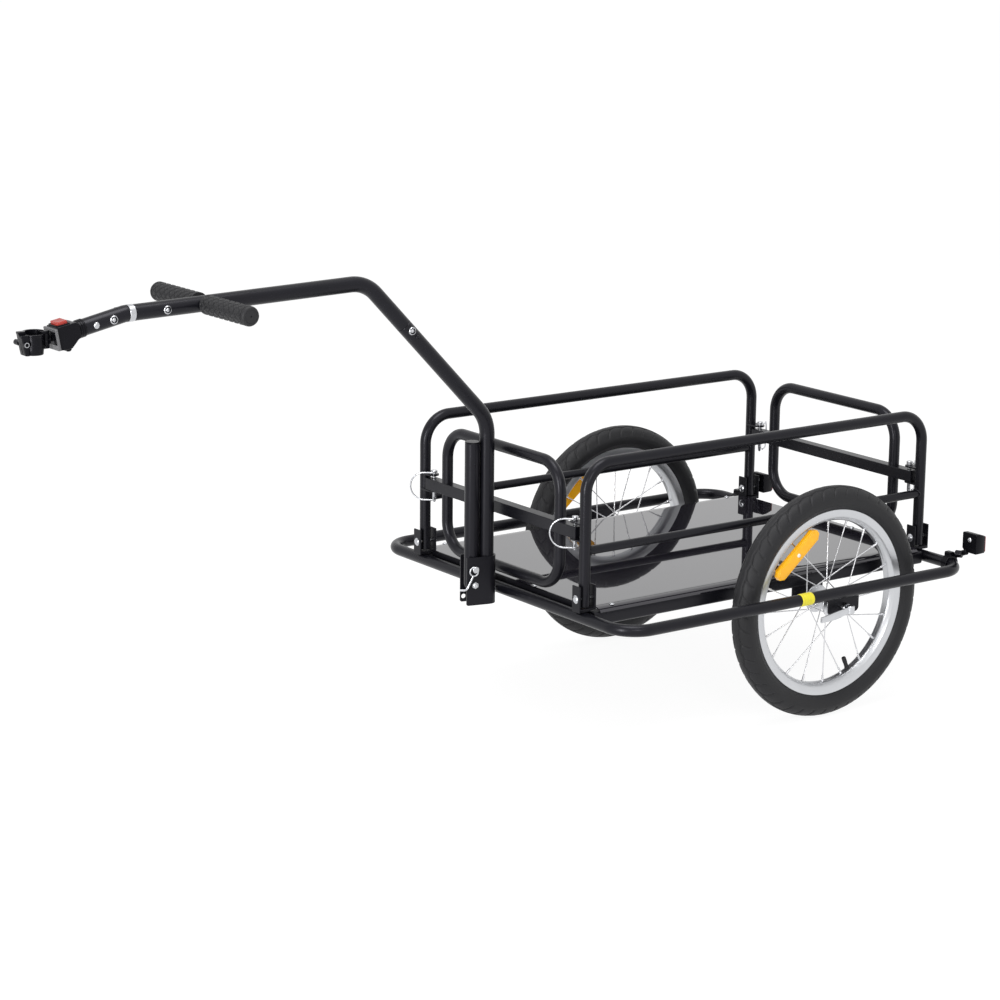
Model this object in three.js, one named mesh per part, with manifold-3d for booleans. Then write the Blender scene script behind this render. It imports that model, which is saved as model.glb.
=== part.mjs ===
import * as THREE from "three";
import Module from "manifold-3d";

// Cargo trailer for a bicycle. Millimetres, +X towards the hitch, +Y to the left, +Z up.
// Positions along the trailer are counted from the wheel axle until the whole part is centred.

// Faceting
const tubeSides = 12;
const boltSides = 10;
const wireSides = 6;
const spokeSides = 4;
const wheelSegments = 44;
const bendSteps = 6;
const bailSteps = 8;
const shortBendSteps = 2;
const crownFacets = 13;

// Gap between pieces that touch
const fitGap = 0.3;

// Wheels
const wheelRadius = 200;
const wheelOffset = 290;
const tyreHalfWidth = 22;
const tyreDepth = 40;
const rimRadius = wheelRadius - tyreDepth;
const rimDepth = 14;
const rimHalfWidth = 14;
const rimLipWidth = 2.5;
const rimLipDepth = 6;
const hubFlangeRadius = 24;
const hubFlangeWidth = 3.4;
const hubFlangeOffset = 21;
const hubBodyRadius = 13;
const hubEndRadius = 8.5;
const hubHalfLength = 43.4;
const hubBore = 3.6;
const spokeRadius = 1.1;
const spokeHoleEdge = 3.5;
const spokeCircle = hubFlangeRadius - spokeHoleEdge;
const spokeCount = 20;
const spokeCross = 1.1;
const valveRadius = 4;
const valveLength = 24;
const valveAngle = -114;

// Frame
const railRadius = 10;
const railRise = 30;
const railHeight = wheelRadius + railRise;
const railToWheel = 56;
const railOffset = wheelOffset + railToWheel;
const railFront = 471;
const railRear = -275;
const railCorner = 50;
const innerRailSize = 25;
const innerRailToWheel = 54.5;
const innerRailOffset = wheelOffset - innerRailToWheel;
const dropoutThickness = 3.5;
const dropoutHalfLength = 34;
const dropoutReach = 11;
const dropoutBottom = wheelRadius - dropoutReach;
const dropoutCorner = 8;
const axleSlotHalf = 5.2;
const weldDepth = 1.2;

// Deck
const deckInset = 12;
const deckFront = railFront - deckInset;
const deckRear = railRear + deckInset;
const deckHalfWidth = innerRailOffset + deckInset;
const deckCrown = 2.7;
const deckThickness = 2;
const deckNotchGap = 0.5;

// Sides
const sideInset = 8.5;
const sideOffset = innerRailOffset - sideInset;
const frontPostInset = 4;
const rearPostInset = 3;
const sideFront = railFront - frontPostInset;
const sideRear = railRear + rearPostInset;
const sideTubeRadius = 9.5;
const sideCorner = 48;
const midBarRadius = 7.3;
const midBarRise = 110;
const midBarHeight = railHeight + midBarRise;
const sideRise = 142;
const sideTop = midBarHeight + sideRise;
const pivotRise = 32;
const pivotHeight = railHeight + pivotRise;
const postFoot = 14;
const footHalfLength = 17;
const footHalfWidth = 10.3;
const footLip = 22;
const footTop = pivotHeight + footLip;
const footPlate = 3;
const footBoltRadius = 3.6;
const footBoltHead = 6.2;
const footBoltHeadHeight = 3;

// End gates
const gateInset = 67;
const gateHalfWidth = sideOffset - gateInset;
const gateTopDrop = 11.4;
const gateTop = sideTop - gateTopDrop;
const gateFloorGap = 34.6;
const gateBottom = railHeight + gateFloorGap;
const gateTubeRadius = 9.5;
const gateCorner = 48;
const barSize = 20;
const barRise = 28;
const barHeight = midBarHeight + barRise;
const barEndGap = 14;
const barHalfLength = sideOffset - barEndGap;
const tabThickness = 3;
const tabReach = 34;
const tabHalfWidth = 10;
const tabLowerGap = 0.3;
const tabUpperGap = 5;

// Lock pins
const pinInset = 27;
const pinOffset = sideOffset - pinInset;
const pinRadius = 3.2;
const pinTail = 14.7;
const pinTip = 3.5;
const pinHeadRadius = 5.5;
const pinHeadHeight = 6.5;
const bailGrip = 2.2;
const bailRadius = 1.5;
const bailReach = 40;

// Drawbar and stand
const drawbarRadius = 12.7;
const drawbarAhead = 29;
const drawbarX = railFront + drawbarAhead;
const drawbarTail = 22;
const drawbarFoot = railHeight - drawbarTail;
const drawbarRise = 291;
const bendLowZ = railHeight + drawbarRise;
const slopeLength = 239.7;
const bendHighX = drawbarX + slopeLength;
const slopeRise = 247.9;
const bendHighZ = bendLowZ + slopeRise;
const runLength = 417.3;
const drawbarEndX = bendHighX + runLength;
const runDrop = 9.5;
const drawbarEndZ = bendHighZ - runDrop;
const bendRadius = 62;
const jointAhead = 168;
const jointX = drawbarX + jointAhead;
const jointBoltBack = 9;
const jointBoltX = jointX - jointBoltBack;
const snapButtonBack = 19.5;
const snapButtonX = jointX - snapButtonBack;
const snapButtonRadius = 3.2;
const snapButtonHeight = 3;
const snapTravel = 3;
const crossBoltRadius = 3;
const crossBoltHead = 5.5;
const crossBoltHeadHeight = 3.4;
const channelHalfWidth = 16;
const channelThickness = 2.7;
const channelLength = 40;
const channelRise = 61;
const channelTop = railHeight + channelRise;
const channelDrop = 21;
const channelBottom = railHeight - channelDrop;
const channelTurn = -13.5;
const legAhead = 26;
const legRadius = 12.4;
const legPivotRise = 14;
const legPivotHeight = railHeight + legPivotRise;
const legLength = 241;
const legLean = 17.5;
const lockHoleSpacing = 27;
const legBoltRadius = 3.8;
const lockPinRadius = 3.4;
const lockBailRadius = 1.8;
const lockBailDrop = 34;
const lockBailReach = 26;

// Handle
const handleBack = 122;
const handleX = drawbarEndX - handleBack;
const handleHalfLength = 141;
const handleCoreRadius = 8;
const gripRadius = 15.5;
const gripEndRadius = 14;
const gripEndStep = 4;
const gripGroove = 1.2;
const gripGrooveLength = 5;
const gripClearance = 1.2;

// Hitch
const sleeveLength = 14;
const sleeveRadius = 13.4;
const spigotRadius = 9.5;
const spigotBack = 66;
const spigotFront = 20;
const sleeveBoltBack = 52;
const sleeveBoltX = drawbarEndX - sleeveBoltBack;
const swivelDrop = 26.4;
const swivelHeight = drawbarEndZ - swivelDrop;
const hitchTubeLength = 89.5;
const hitchTubeEndX = drawbarEndX + hitchTubeLength;
const hitchTubeRise = 10.5;
const hitchTubeEndZ = swivelHeight + hitchTubeRise;
const hitchTubeRadius = 13;
const blockSetback = 0.5;
const blockRear = hitchTubeEndX + blockSetback;
const blockLength = 45.3;
const blockFront = blockRear + blockLength;
const blockHalfWidth = 16;
const blockRise = 24;
const blockTop = swivelHeight + blockRise;
const blockDrop = 19;
const blockBottom = swivelHeight - blockDrop;
const blockChamfer = 6;
const collarRadius = 15.5;
const collarLength = 12;
const buttonLength = 30;
const buttonHalfWidth = 10;
const buttonHeight = 8;
const buttonSink = 4;
const buttonTravel = 3;
const flangeThickness = 4;
const flangeHalfWidth = 18;
const flangeLip = 2;
const flangeTop = blockTop - flangeLip;
const flangeBottom = blockBottom - flangeLip;
const stemRadius = 5;
const stemLength = 9;
const bossHalf = 8.5;
const bossDepth = 2.4;
const barrelAhead = 6.7;
const barrelX = blockFront + flangeThickness + barrelAhead;
const barrelRadius = 5.5;
const barrelHalf = 9;
const forkThickness = 4;
const clampAhead = 24;
const clampX = barrelX + clampAhead;
const clampHalfHeight = 19;
const clampBore = 13.7;
const clampTopRadius = 17.5;
const clampBottomRadius = 16;
const clampSplit = 1.2;
const noseLength = 29;
const clampNose = clampX + noseLength;
const noseHalfWidth = 8;
const clampBoltBack = 7;
const clampBoltX = clampNose - clampBoltBack;
const clampBoltRadius = 2.4;
const clampBoltHead = 4.4;
const clampBoltSlack = 3.9;

// Quick-release axles
const skewerRadius = 3;
const axleEndRadius = 4.8;
const skewerNutRadius = 8.5;
const skewerNutWidth = 9;
const skewerInnerNut = 8;
const leverLength = 66;
const leverWidth = 11;
const leverThickness = 5.5;
const leverHubRadius = 7;
const leverHubHalf = 6.5;
const leverDrop = 7;

// Reflectors
const reflectorInset = 38;
const wheelReflectorRadius = rimRadius - reflectorInset;
const wheelReflectorLength = 114;
const wheelReflectorWidth = 26;
const wheelReflectorDepth = 9;
const wheelReflectorAngle = 50.5;
const wheelReflectorOffset = 12;
const rearReflectorSetback = 19;
const rearReflectorFront = railRear - rearReflectorSetback;
const rearReflectorDepth = 21.5;
const rearReflectorRear = rearReflectorFront - rearReflectorDepth;
const rearReflectorHalfWidth = 17;
const rearReflectorRise = 18;
const rearReflectorBottom = railHeight + rearReflectorRise;
const rearReflectorHeight = 40;
const rearReflectorTop = rearReflectorBottom + rearReflectorHeight;
const rearReflectorChamfer = 5;
const rearClipInset = 41;
const rearClipLeft = railOffset - rearClipInset;
const rearClipRightInset = 85;
const rearClipRight = rearClipRightInset - railOffset;
const rearReflectorShift = 34;
const armRadius = 5;
const clipRadius = 15;
const clipHalfLength = 7;

// Colours
const gloss = { color: 0x18181a, roughness: 0.32, metalness: 0.1 };
const satin = { color: 0x1c1c1e, roughness: 0.5, metalness: 0.1 };
const rubber = { color: 0x1e1e20, roughness: 0.85, metalness: 0 };
const plastic = { color: 0x161617, roughness: 0.45, metalness: 0 };
const mirror = { color: 0x2b2b2e, roughness: 0.06, metalness: 0.1 };
const zinc = { color: 0xc9cbce, roughness: 0.3, metalness: 1 };
const alloy = { color: 0xb9babd, roughness: 0.35, metalness: 1 };
const amber = { color: 0xf2a01c, roughness: 0.2, metalness: 0 };
const red = { color: 0xc43222, roughness: 0.35, metalness: 0 };
const lensRed = { color: 0xa01818, roughness: 0.15, metalness: 0 };

const wasm = await Module();
wasm.setup();
const xAxis = new THREE.Vector3(1, 0, 0);
const yAxis = new THREE.Vector3(0, 1, 0);
const zAxis = new THREE.Vector3(0, 0, 1);
const point = (x, y, z) => new THREE.Vector3(x, y, z);

// A closed surface from vertex positions and triangle corners.
function surface(positions, corners) {
  const geometry = new THREE.BufferGeometry();
  geometry.setAttribute("position", new THREE.Float32BufferAttribute(positions, 3));
  geometry.setIndex(corners);
  return geometry;
}

// Surface to boolean solid and back.
function solid(geometry) {
  const merged = new Map();
  const vertices = [];
  const flat = geometry.index ? geometry.toNonIndexed() : geometry;
  const position = flat.getAttribute("position");
  const triangles = [];
  for (let i = 0; i < position.count; i++) {
    const xyz = [position.getX(i), position.getY(i), position.getZ(i)];
    const key = xyz.map((value) => Math.round(value * 1e4)).join();
    if (!merged.has(key)) {
      merged.set(key, vertices.length / 3);
      vertices.push(...xyz);
    }
    triangles.push(merged.get(key));
  }
  const kept = [];
  for (let i = 0; i < triangles.length; i += 3) {
    const [a, b, c] = triangles.slice(i, i + 3);
    if (a !== b && b !== c && a !== c) kept.push(a, b, c);
  }
  const mesh = new wasm.Mesh({
    numProp: 3,
    vertProperties: new Float32Array(vertices),
    triVerts: new Uint32Array(kept),
  });
  return new wasm.Manifold(mesh);
}

function shell(manifold) {
  const mesh = manifold.getMesh();
  const indexed = surface(Array.from(mesh.vertProperties), Array.from(mesh.triVerts));
  const flat = indexed.toNonIndexed();
  flat.computeVertexNormals();
  return flat;
}

const join = (...pieces) => shell(pieces.map(solid).reduce((a, b) => a.add(b)));
const cut = (body, ...tools) =>
  shell(tools.map(solid).reduce((a, b) => a.subtract(b), solid(body)));

// A tube of round section along a path, capped at its ends or closed on itself.
function tube(path, radius, sides = tubeSides, closed = false) {
  const count = path.length;
  const spans = closed ? count : count - 1;
  const ways = [];
  for (let i = 0; i < spans; i++) {
    ways.push(path[(i + 1) % count].clone().sub(path[i]).normalize());
  }
  const level = Math.abs(ways[0].z) < Math.SQRT1_2 ? zAxis : xAxis;
  const normal = level.clone().cross(ways[0]).normalize();
  const bends = ways.slice(1).map((way, i) => ways[i].clone().cross(way));
  const firstBend = bends.find((bend) => bend.length() > Number.EPSILON ** 0.5);
  if (firstBend) normal.copy(firstBend).normalize();
  const positions = [];
  path.forEach((centre, i) => {
    const into = ways[closed ? (i + spans - 1) % spans : Math.max(i - 1, 0)];
    const onward = ways[Math.min(i, spans - 1)];
    const bisector = into.clone().add(onward).normalize();
    if (i > 0) normal.applyQuaternion(new THREE.Quaternion().setFromUnitVectors(into, onward));
    const side = onward.clone().cross(normal);
    for (let k = 0; k < sides; k++) {
      const turn = (2 * Math.PI * (k + 0.5)) / sides;
      const offset = normal.clone().multiplyScalar(radius * Math.cos(turn));
      offset.addScaledVector(side, radius * Math.sin(turn));
      offset.addScaledVector(onward, -offset.dot(bisector) / onward.dot(bisector));
      positions.push(centre.x + offset.x, centre.y + offset.y, centre.z + offset.z);
    }
  });
  const corners = [];
  for (let i = 0; i < spans; i++) {
    for (let k = 0; k < sides; k++) {
      const a = i * sides + k;
      const b = i * sides + ((k + 1) % sides);
      const c = ((i + 1) % count) * sides + k;
      const d = ((i + 1) % count) * sides + ((k + 1) % sides);
      corners.push(a, c, b, b, c, d);
    }
  }
  if (!closed) {
    const last = (count - 1) * sides;
    for (let k = 1; k + 1 < sides; k++) {
      corners.push(0, k, k + 1, last, last + k + 1, last + k);
    }
  }
  const geometry = surface(positions, corners);
  return inwards(geometry) ? surface(positions, corners.reverse()) : geometry;
}

// True where the faces of a closed surface point inwards.
function inwards(geometry) {
  const index = geometry.index.array;
  const position = geometry.getAttribute("position");
  const at = (i) => new THREE.Vector3().fromBufferAttribute(position, index[i]);
  let volume = 0;
  for (let i = 0; i < index.length; i += 3) {
    volume += at(i).dot(at(i + 1).cross(at(i + 2)));
  }
  return volume < 0;
}

// A polyline with its corners rounded to a radius.
function rounded(corners, radius, closed = false, steps = bendSteps) {
  const path = [];
  const count = corners.length;
  corners.forEach((corner, i) => {
    if (!closed && (i === 0 || i === count - 1)) {
      path.push(corner.clone());
      return;
    }
    const back = corners[(i + count - 1) % count].clone().sub(corner).normalize();
    const ahead = corners[(i + 1) % count].clone().sub(corner).normalize();
    const half = back.angleTo(ahead) / 2;
    const middle = back.clone().add(ahead).normalize();
    const centre = corner.clone().addScaledVector(middle, radius / Math.sin(half));
    const start = corner.clone().addScaledVector(back, radius / Math.tan(half)).sub(centre);
    const turn = back.clone().cross(start).normalize();
    for (let k = 0; k <= steps; k++) {
      const angle = ((Math.PI - 2 * half) * k) / steps;
      path.push(start.clone().applyAxisAngle(turn, angle).add(centre));
    }
  });
  return path;
}

// A round bar between two points.
const bar = (from, to, radius, sides = boltSides) => tube([from, to], radius, sides);

// A block from its two opposite corners.
function block(low, high) {
  const size = high.clone().sub(low);
  const middle = low.clone().add(high).multiplyScalar(0.5);
  return new THREE.BoxGeometry(size.x, size.y, size.z).translate(...middle.toArray());
}

// A solid of revolution: pairs of radius and height, round the way, from a base point.
function turned(profile, base, way, segments = boltSides) {
  const points = profile.map(([radius, height]) => new THREE.Vector2(radius, height));
  const geometry = new THREE.LatheGeometry(points, segments);
  const turn = new THREE.Quaternion().setFromUnitVectors(yAxis, way.clone().normalize());
  const plain = solidSurface(geometry);
  return plain.applyQuaternion(turn).translate(base.x, base.y, base.z);
}

// A surface without its doubled seam, facing outwards.
function solidSurface(geometry) {
  const body = solid(geometry);
  if (body.volume() >= 0) return shell(body);
  const flipped = geometry.toNonIndexed();
  const position = flipped.getAttribute("position");
  const a = point(0, 0, 0);
  const b = point(0, 0, 0);
  for (let i = 0; i < position.count; i += 3) {
    a.fromBufferAttribute(position, i + 1);
    b.fromBufferAttribute(position, i + 2);
    position.setXYZ(i + 1, b.x, b.y, b.z);
    position.setXYZ(i + 2, a.x, a.y, a.z);
  }
  return shell(solid(flipped));
}

// A plate cut from an outline in the X and Z plane, centred on its place across the trailer.
function plateAcrossY(outline, y, thickness, holes = []) {
  const shape = new THREE.Shape(outline.map(([x, z]) => new THREE.Vector2(x, z)));
  const geometry = new THREE.ExtrudeGeometry(shape, { depth: thickness, bevelEnabled: false });
  geometry.rotateX(Math.PI / 2).translate(0, y + thickness / 2, 0);
  const body = solidSurface(geometry);
  return holes.length ? cut(body, ...holes) : body;
}

const trailer = new THREE.Group();
trailer.name = "cargo_trailer";

function add(parent, name, geometry, look) {
  const mesh = new THREE.Mesh(geometry, new THREE.MeshStandardMaterial(look));
  mesh.name = name;
  parent.add(mesh);
  return mesh;
}

const sides = [
  { label: "left", sign: 1 },
  { label: "right", sign: -1 },
];
const ends = [
  { label: "front", x: sideFront, sign: 1 },
  { label: "rear", x: sideRear, sign: -1 },
];

// Frame: the outer rail runs round everything, and each wheel turns between two plates.
const frame = new THREE.Group();
frame.name = "frame";
trailer.add(frame);

const outerPlateY = railOffset - railRadius + weldDepth - dropoutThickness / 2;
const innerPlateY = 2 * wheelOffset - outerPlateY;
const railCorners = [
  point(railFront, railOffset, railHeight),
  point(railRear, railOffset, railHeight),
  point(railRear, -railOffset, railHeight),
  point(railFront, -railOffset, railHeight),
];
const outerRail = tube(rounded(railCorners, railCorner, true), railRadius, tubeSides, true);
// The bore for the bolt that holds the drawbar's channel to the front rail.
const bracketBore = bar(
  point(railFront - 2 * railRadius, 0, railHeight),
  point(drawbarX + crossBoltRadius + fitGap, 0, railHeight),
  crossBoltRadius + fitGap,
);

// The plate that carries an axle end, with a slot open at its lower edge.
function dropout(y, top) {
  const c = dropoutCorner;
  const outline = [
    [-dropoutHalfLength, top],
    [-dropoutHalfLength, dropoutBottom + c],
    [-dropoutHalfLength + c, dropoutBottom],
    [dropoutHalfLength - c, dropoutBottom],
    [dropoutHalfLength, dropoutBottom + c],
    [dropoutHalfLength, top],
  ];
  const reach = dropoutThickness;
  const slot = block(
    point(-axleSlotHalf, y - reach, dropoutBottom - reach),
    point(axleSlotHalf, y + reach, wheelRadius),
  );
  const seat = bar(
    point(0, y - reach, wheelRadius),
    point(0, y + reach, wheelRadius),
    axleSlotHalf / Math.cos(Math.PI / boltSides),
  );
  return plateAcrossY(outline, y, dropoutThickness, [slot, seat]);
}

add(
  frame,
  "outer_rail_loop",
  cut(
    join(outerRail, dropout(outerPlateY, railHeight), dropout(-outerPlateY, railHeight)),
    bracketBore,
  ),
  gloss,
);

const innerFront = railFront - railRadius - fitGap;
const innerRear = railRear + railRadius + fitGap;
for (const { label, sign } of sides) {
  const half = innerRailSize / 2;
  const y = sign * innerRailOffset;
  const rail = block(
    point(innerRear, y - half, railHeight - half),
    point(innerFront, y + half, railHeight + half),
  );
  const plate = dropout(sign * innerPlateY, railHeight - half + dropoutThickness);
  add(frame, "inner_rail_" + label, join(rail, plate), gloss);
}

// Deck: a thin glossy panel, crowned across its width, resting on the inner rails.
function crownedDeck() {
  const bottom = railHeight + innerRailSize / 2 + fitGap;
  const radius = (deckHalfWidth * deckHalfWidth) / (2 * deckCrown) + deckCrown / 2;
  const rise = (y) => Math.sqrt(radius * radius - y * y) - (radius - deckCrown);
  const outline = [];
  for (let i = 0; i <= crownFacets; i++) {
    const y = deckHalfWidth * ((2 * i) / crownFacets - 1);
    outline.push(new THREE.Vector2(y, bottom + deckThickness + rise(y)));
  }
  for (let i = crownFacets; i >= 0; i--) {
    const y = deckHalfWidth * ((2 * i) / crownFacets - 1);
    outline.push(new THREE.Vector2(y, bottom + rise(y)));
  }
  const geometry = new THREE.ExtrudeGeometry(new THREE.Shape(outline), {
    depth: deckFront - deckRear,
    bevelEnabled: false,
  });
  const turn = new THREE.Matrix4().makeBasis(yAxis, zAxis, xAxis);
  const panel = solidSurface(geometry.applyMatrix4(turn).translate(deckRear, 0, 0));
  const notches = ends.flatMap((end) =>
    sides.map((side) => {
      const inner = side.sign * (sideOffset - footHalfWidth - deckNotchGap);
      const edge = side.sign * 2 * deckHalfWidth;
      const inside = end.x - end.sign * (footHalfLength + deckNotchGap);
      const beyond = end.x + end.sign * footHalfLength;
      return block(
        point(Math.min(inside, beyond), Math.min(inner, edge), 0),
        point(Math.max(inside, beyond), Math.max(inner, edge), footTop),
      );
    }),
  );
  return cut(panel, ...notches);
}
add(frame, "deck_panel", crownedDeck(), mirror);

// Feet: an open channel on the rail at each corner, with a bolt that the side turns about.
const railTop = railHeight + railRadius + fitGap;
const footBase = railHeight + innerRailSize / 2 + fitGap;
for (const end of ends) {
  for (const side of sides) {
    const tag = end.label + "_" + side.label;
    const y = side.sign * sideOffset;
    const low = point(end.x - footHalfLength, y - footHalfWidth, footBase);
    const body = block(low, point(end.x + footHalfLength, y + footHalfWidth, footTop));
    const padInner = end.sign > 0 ? innerFront + fitGap : innerRear - fitGap;
    const padOuter = end.x + end.sign * footHalfLength;
    const pad = block(
      point(Math.min(padInner, padOuter), y - footHalfWidth, railTop),
      point(Math.max(padInner, padOuter), y + footHalfWidth, footBase + footPlate),
    );
    const inside = footHalfLength - footPlate;
    const room = block(
      point(end.x - inside, y - 2 * footHalfWidth, footBase + footPlate),
      point(end.x + inside, y + 2 * footHalfWidth, footTop + footPlate),
    );
    const bore = bar(
      point(end.x - 2 * footHalfLength, y, pivotHeight),
      point(end.x + 2 * footHalfLength, y, pivotHeight),
      footBoltRadius + fitGap,
    );
    add(frame, "foot_bracket_" + tag, cut(join(body, pad), room, bore), satin);
    const half = footHalfLength + fitGap;
    const bolt = [
      [0, -half - footBoltHeadHeight],
      [footBoltHead, -half - footBoltHeadHeight],
      [footBoltHead, -half],
      [footBoltRadius, -half],
      [footBoltRadius, half],
      [footBoltHead, half],
      [footBoltHead, half + footBoltHeadHeight / 2],
      [footBoltHead / 2, half + footBoltHeadHeight],
      [0, half + footBoltHeadHeight],
    ];
    const pivot = point(end.x, y, pivotHeight);
    add(frame, "foot_bolt_" + tag, turned(bolt, pivot, xAxis), zinc);
  }
}

// Sides: an inverted U with a middle bar, and a fork of two tabs for each gate end.
const barTop = barHeight + barSize / 2;
const barBottom = barHeight - barSize / 2;
const tabLevels = [
  [barBottom - tabLowerGap - tabThickness, barBottom - tabLowerGap],
  [barTop + tabUpperGap, barTop + tabUpperGap + tabThickness],
];
for (const side of sides) {
  const y = side.sign * sideOffset;
  const bottom = pivotHeight - postFoot;
  const hoopCorners = [
    point(sideFront, y, bottom),
    point(sideFront, y, sideTop),
    point(sideRear, y, sideTop),
    point(sideRear, y, bottom),
  ];
  const pieces = [tube(rounded(hoopCorners, sideCorner), sideTubeRadius)];
  const midFrom = point(sideRear, y, midBarHeight);
  pieces.push(bar(midFrom, point(sideFront, y, midBarHeight), midBarRadius, tubeSides));
  const holes = [];
  for (const end of ends) {
    for (const [low, high] of tabLevels) {
      const inner = y - side.sign * tabReach;
      const yLow = Math.min(y, inner);
      const yHigh = Math.max(y, inner);
      const tabLow = point(end.x - tabHalfWidth, yLow, low);
      pieces.push(block(tabLow, point(end.x + tabHalfWidth, yHigh, high)));
    }
    const pinY = side.sign * pinOffset;
    const pinLow = barBottom - 2 * tabThickness;
    const pinHigh = barTop + tabUpperGap + 2 * tabThickness;
    holes.push(
      bar(point(end.x, pinY, pinLow), point(end.x, pinY, pinHigh), pinRadius + fitGap),
      bar(
        point(end.x - footHalfLength, y, pivotHeight),
        point(end.x + footHalfLength, y, pivotHeight),
        footBoltRadius + fitGap,
      ),
    );
  }
  add(trailer, "side_hoop_" + side.label, cut(join(...pieces), ...holes), gloss);
}

// Gates: a rounded loop of tube, with a square crossbar through it that reaches both forks.
for (const end of ends) {
  const gateCorners = [
    point(end.x, gateHalfWidth, gateTop),
    point(end.x, -gateHalfWidth, gateTop),
    point(end.x, -gateHalfWidth, gateBottom),
    point(end.x, gateHalfWidth, gateBottom),
  ];
  const loop = tube(rounded(gateCorners, gateCorner, true), gateTubeRadius, tubeSides, true);
  const crossbar = block(
    point(end.x - barSize / 2, -barHalfLength, barBottom),
    point(end.x + barSize / 2, barHalfLength, barTop),
  );
  // The gate turns on one pin, so its other end is slotted towards the outside.
  const hingeY = end.sign * pinOffset;
  const hole = pinRadius + fitGap;
  const low = barBottom - hole;
  const high = barTop + hole;
  const bore = bar(point(end.x, hingeY, low), point(end.x, hingeY, high), hole);
  const seat = bar(point(end.x, -hingeY, low), point(end.x, -hingeY, high), hole);
  const mouth = end.x + end.sign * barSize;
  const slot = block(
    point(Math.min(end.x, mouth), -hingeY - hole, low),
    point(Math.max(end.x, mouth), -hingeY + hole, high),
  );
  add(trailer, end.label + "_gate", cut(join(loop, crossbar), bore, seat, slot), gloss);
}

// Lock pins: a headed pin through fork and crossbar, with a wire bail hinged in its head.
for (const end of ends) {
  for (const side of sides) {
    const seat = tabLevels[1][1] + fitGap;
    const headMiddle = seat + pinHeadHeight / 2;
    const base = point(end.x, side.sign * pinOffset, 0);
    const out = point(end.sign, -1, 0).normalize();
    const across = zAxis.clone().cross(out).multiplyScalar(end.sign);
    const place = (reach, aside, height) =>
      base
        .clone()
        .addScaledVector(out, reach)
        .addScaledVector(across, aside)
        .addScaledVector(zAxis, height);
    const pinBottom = tabLevels[0][0] - pinTail;
    const shank = turned(
      [
        [0, pinBottom - pinTip],
        [pinRadius / 2, pinBottom - pinTip],
        [pinRadius, pinBottom],
        [pinRadius, seat],
        [pinHeadRadius, seat],
        [pinHeadRadius, seat + pinHeadHeight],
        [0, seat + pinHeadHeight],
      ],
      base,
      zAxis,
    );
    const bailHole = bar(
      place(0, pinHeadRadius - bailGrip - fitGap, headMiddle),
      place(0, 2 * pinHeadRadius, headMiddle),
      bailRadius + 2 * fitGap,
    );
    const tag = end.label + "_" + side.label;
    add(trailer, "gate_pin_" + tag, cut(shank, bailHole), zinc);
    const low = pinBottom + bailRadius;
    const round = (headMiddle - low) / 2;
    const aside = pinHeadRadius + fitGap + 2 * bailRadius;
    const bend = 2 * bailRadius;
    const path = [
      place(0, pinHeadRadius - bailGrip, headMiddle),
      place(0, aside - bend / 2, headMiddle),
      place(bend, aside, headMiddle),
    ];
    for (let i = 0; i <= bailSteps; i++) {
      const angle = (Math.PI * i) / bailSteps;
      const reach = bailReach - round + round * Math.sin(angle);
      path.push(place(reach, aside, (headMiddle + low) / 2 + round * Math.cos(angle)));
    }
    path.push(place(-pinRadius, pinRadius + fitGap + bailRadius, low));
    add(trailer, "pin_bail_" + tag, tube(path, bailRadius, wireSides), zinc);
  }
}

// Wheels
function tyre() {
  const inner = rimRadius + fitGap;
  const height = wheelRadius - inner;
  const widthShares = [0.5, 0.86, 1, 0.9, 0.5];
  const heightShares = [0, 0.2, 0.52, 0.8, 0.97];
  const profile = [];
  widthShares.forEach((share, i) => {
    profile.push([inner + height * heightShares[i], -tyreHalfWidth * share]);
  });
  profile.push([wheelRadius, 0]);
  for (let i = widthShares.length - 1; i >= 0; i--) {
    profile.push([inner + height * heightShares[i], tyreHalfWidth * widthShares[i]]);
  }
  profile.push(profile[0]);
  return turned(profile, point(0, 0, 0), yAxis, wheelSegments);
}

function rim() {
  const floor = rimRadius - rimLipDepth;
  const inner = rimRadius - rimDepth;
  const bevel = rimHalfWidth - rimLipWidth;
  const profile = [
    [rimRadius, -rimHalfWidth],
    [floor, -rimHalfWidth],
    [inner, -bevel / 2],
    [inner, bevel / 2],
    [floor, rimHalfWidth],
    [rimRadius, rimHalfWidth],
    [rimRadius, bevel],
    [floor, bevel],
    [floor, -bevel],
    [rimRadius, -bevel],
    [rimRadius, -rimHalfWidth],
  ];
  return turned(profile, point(0, 0, 0), yAxis, wheelSegments);
}

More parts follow.
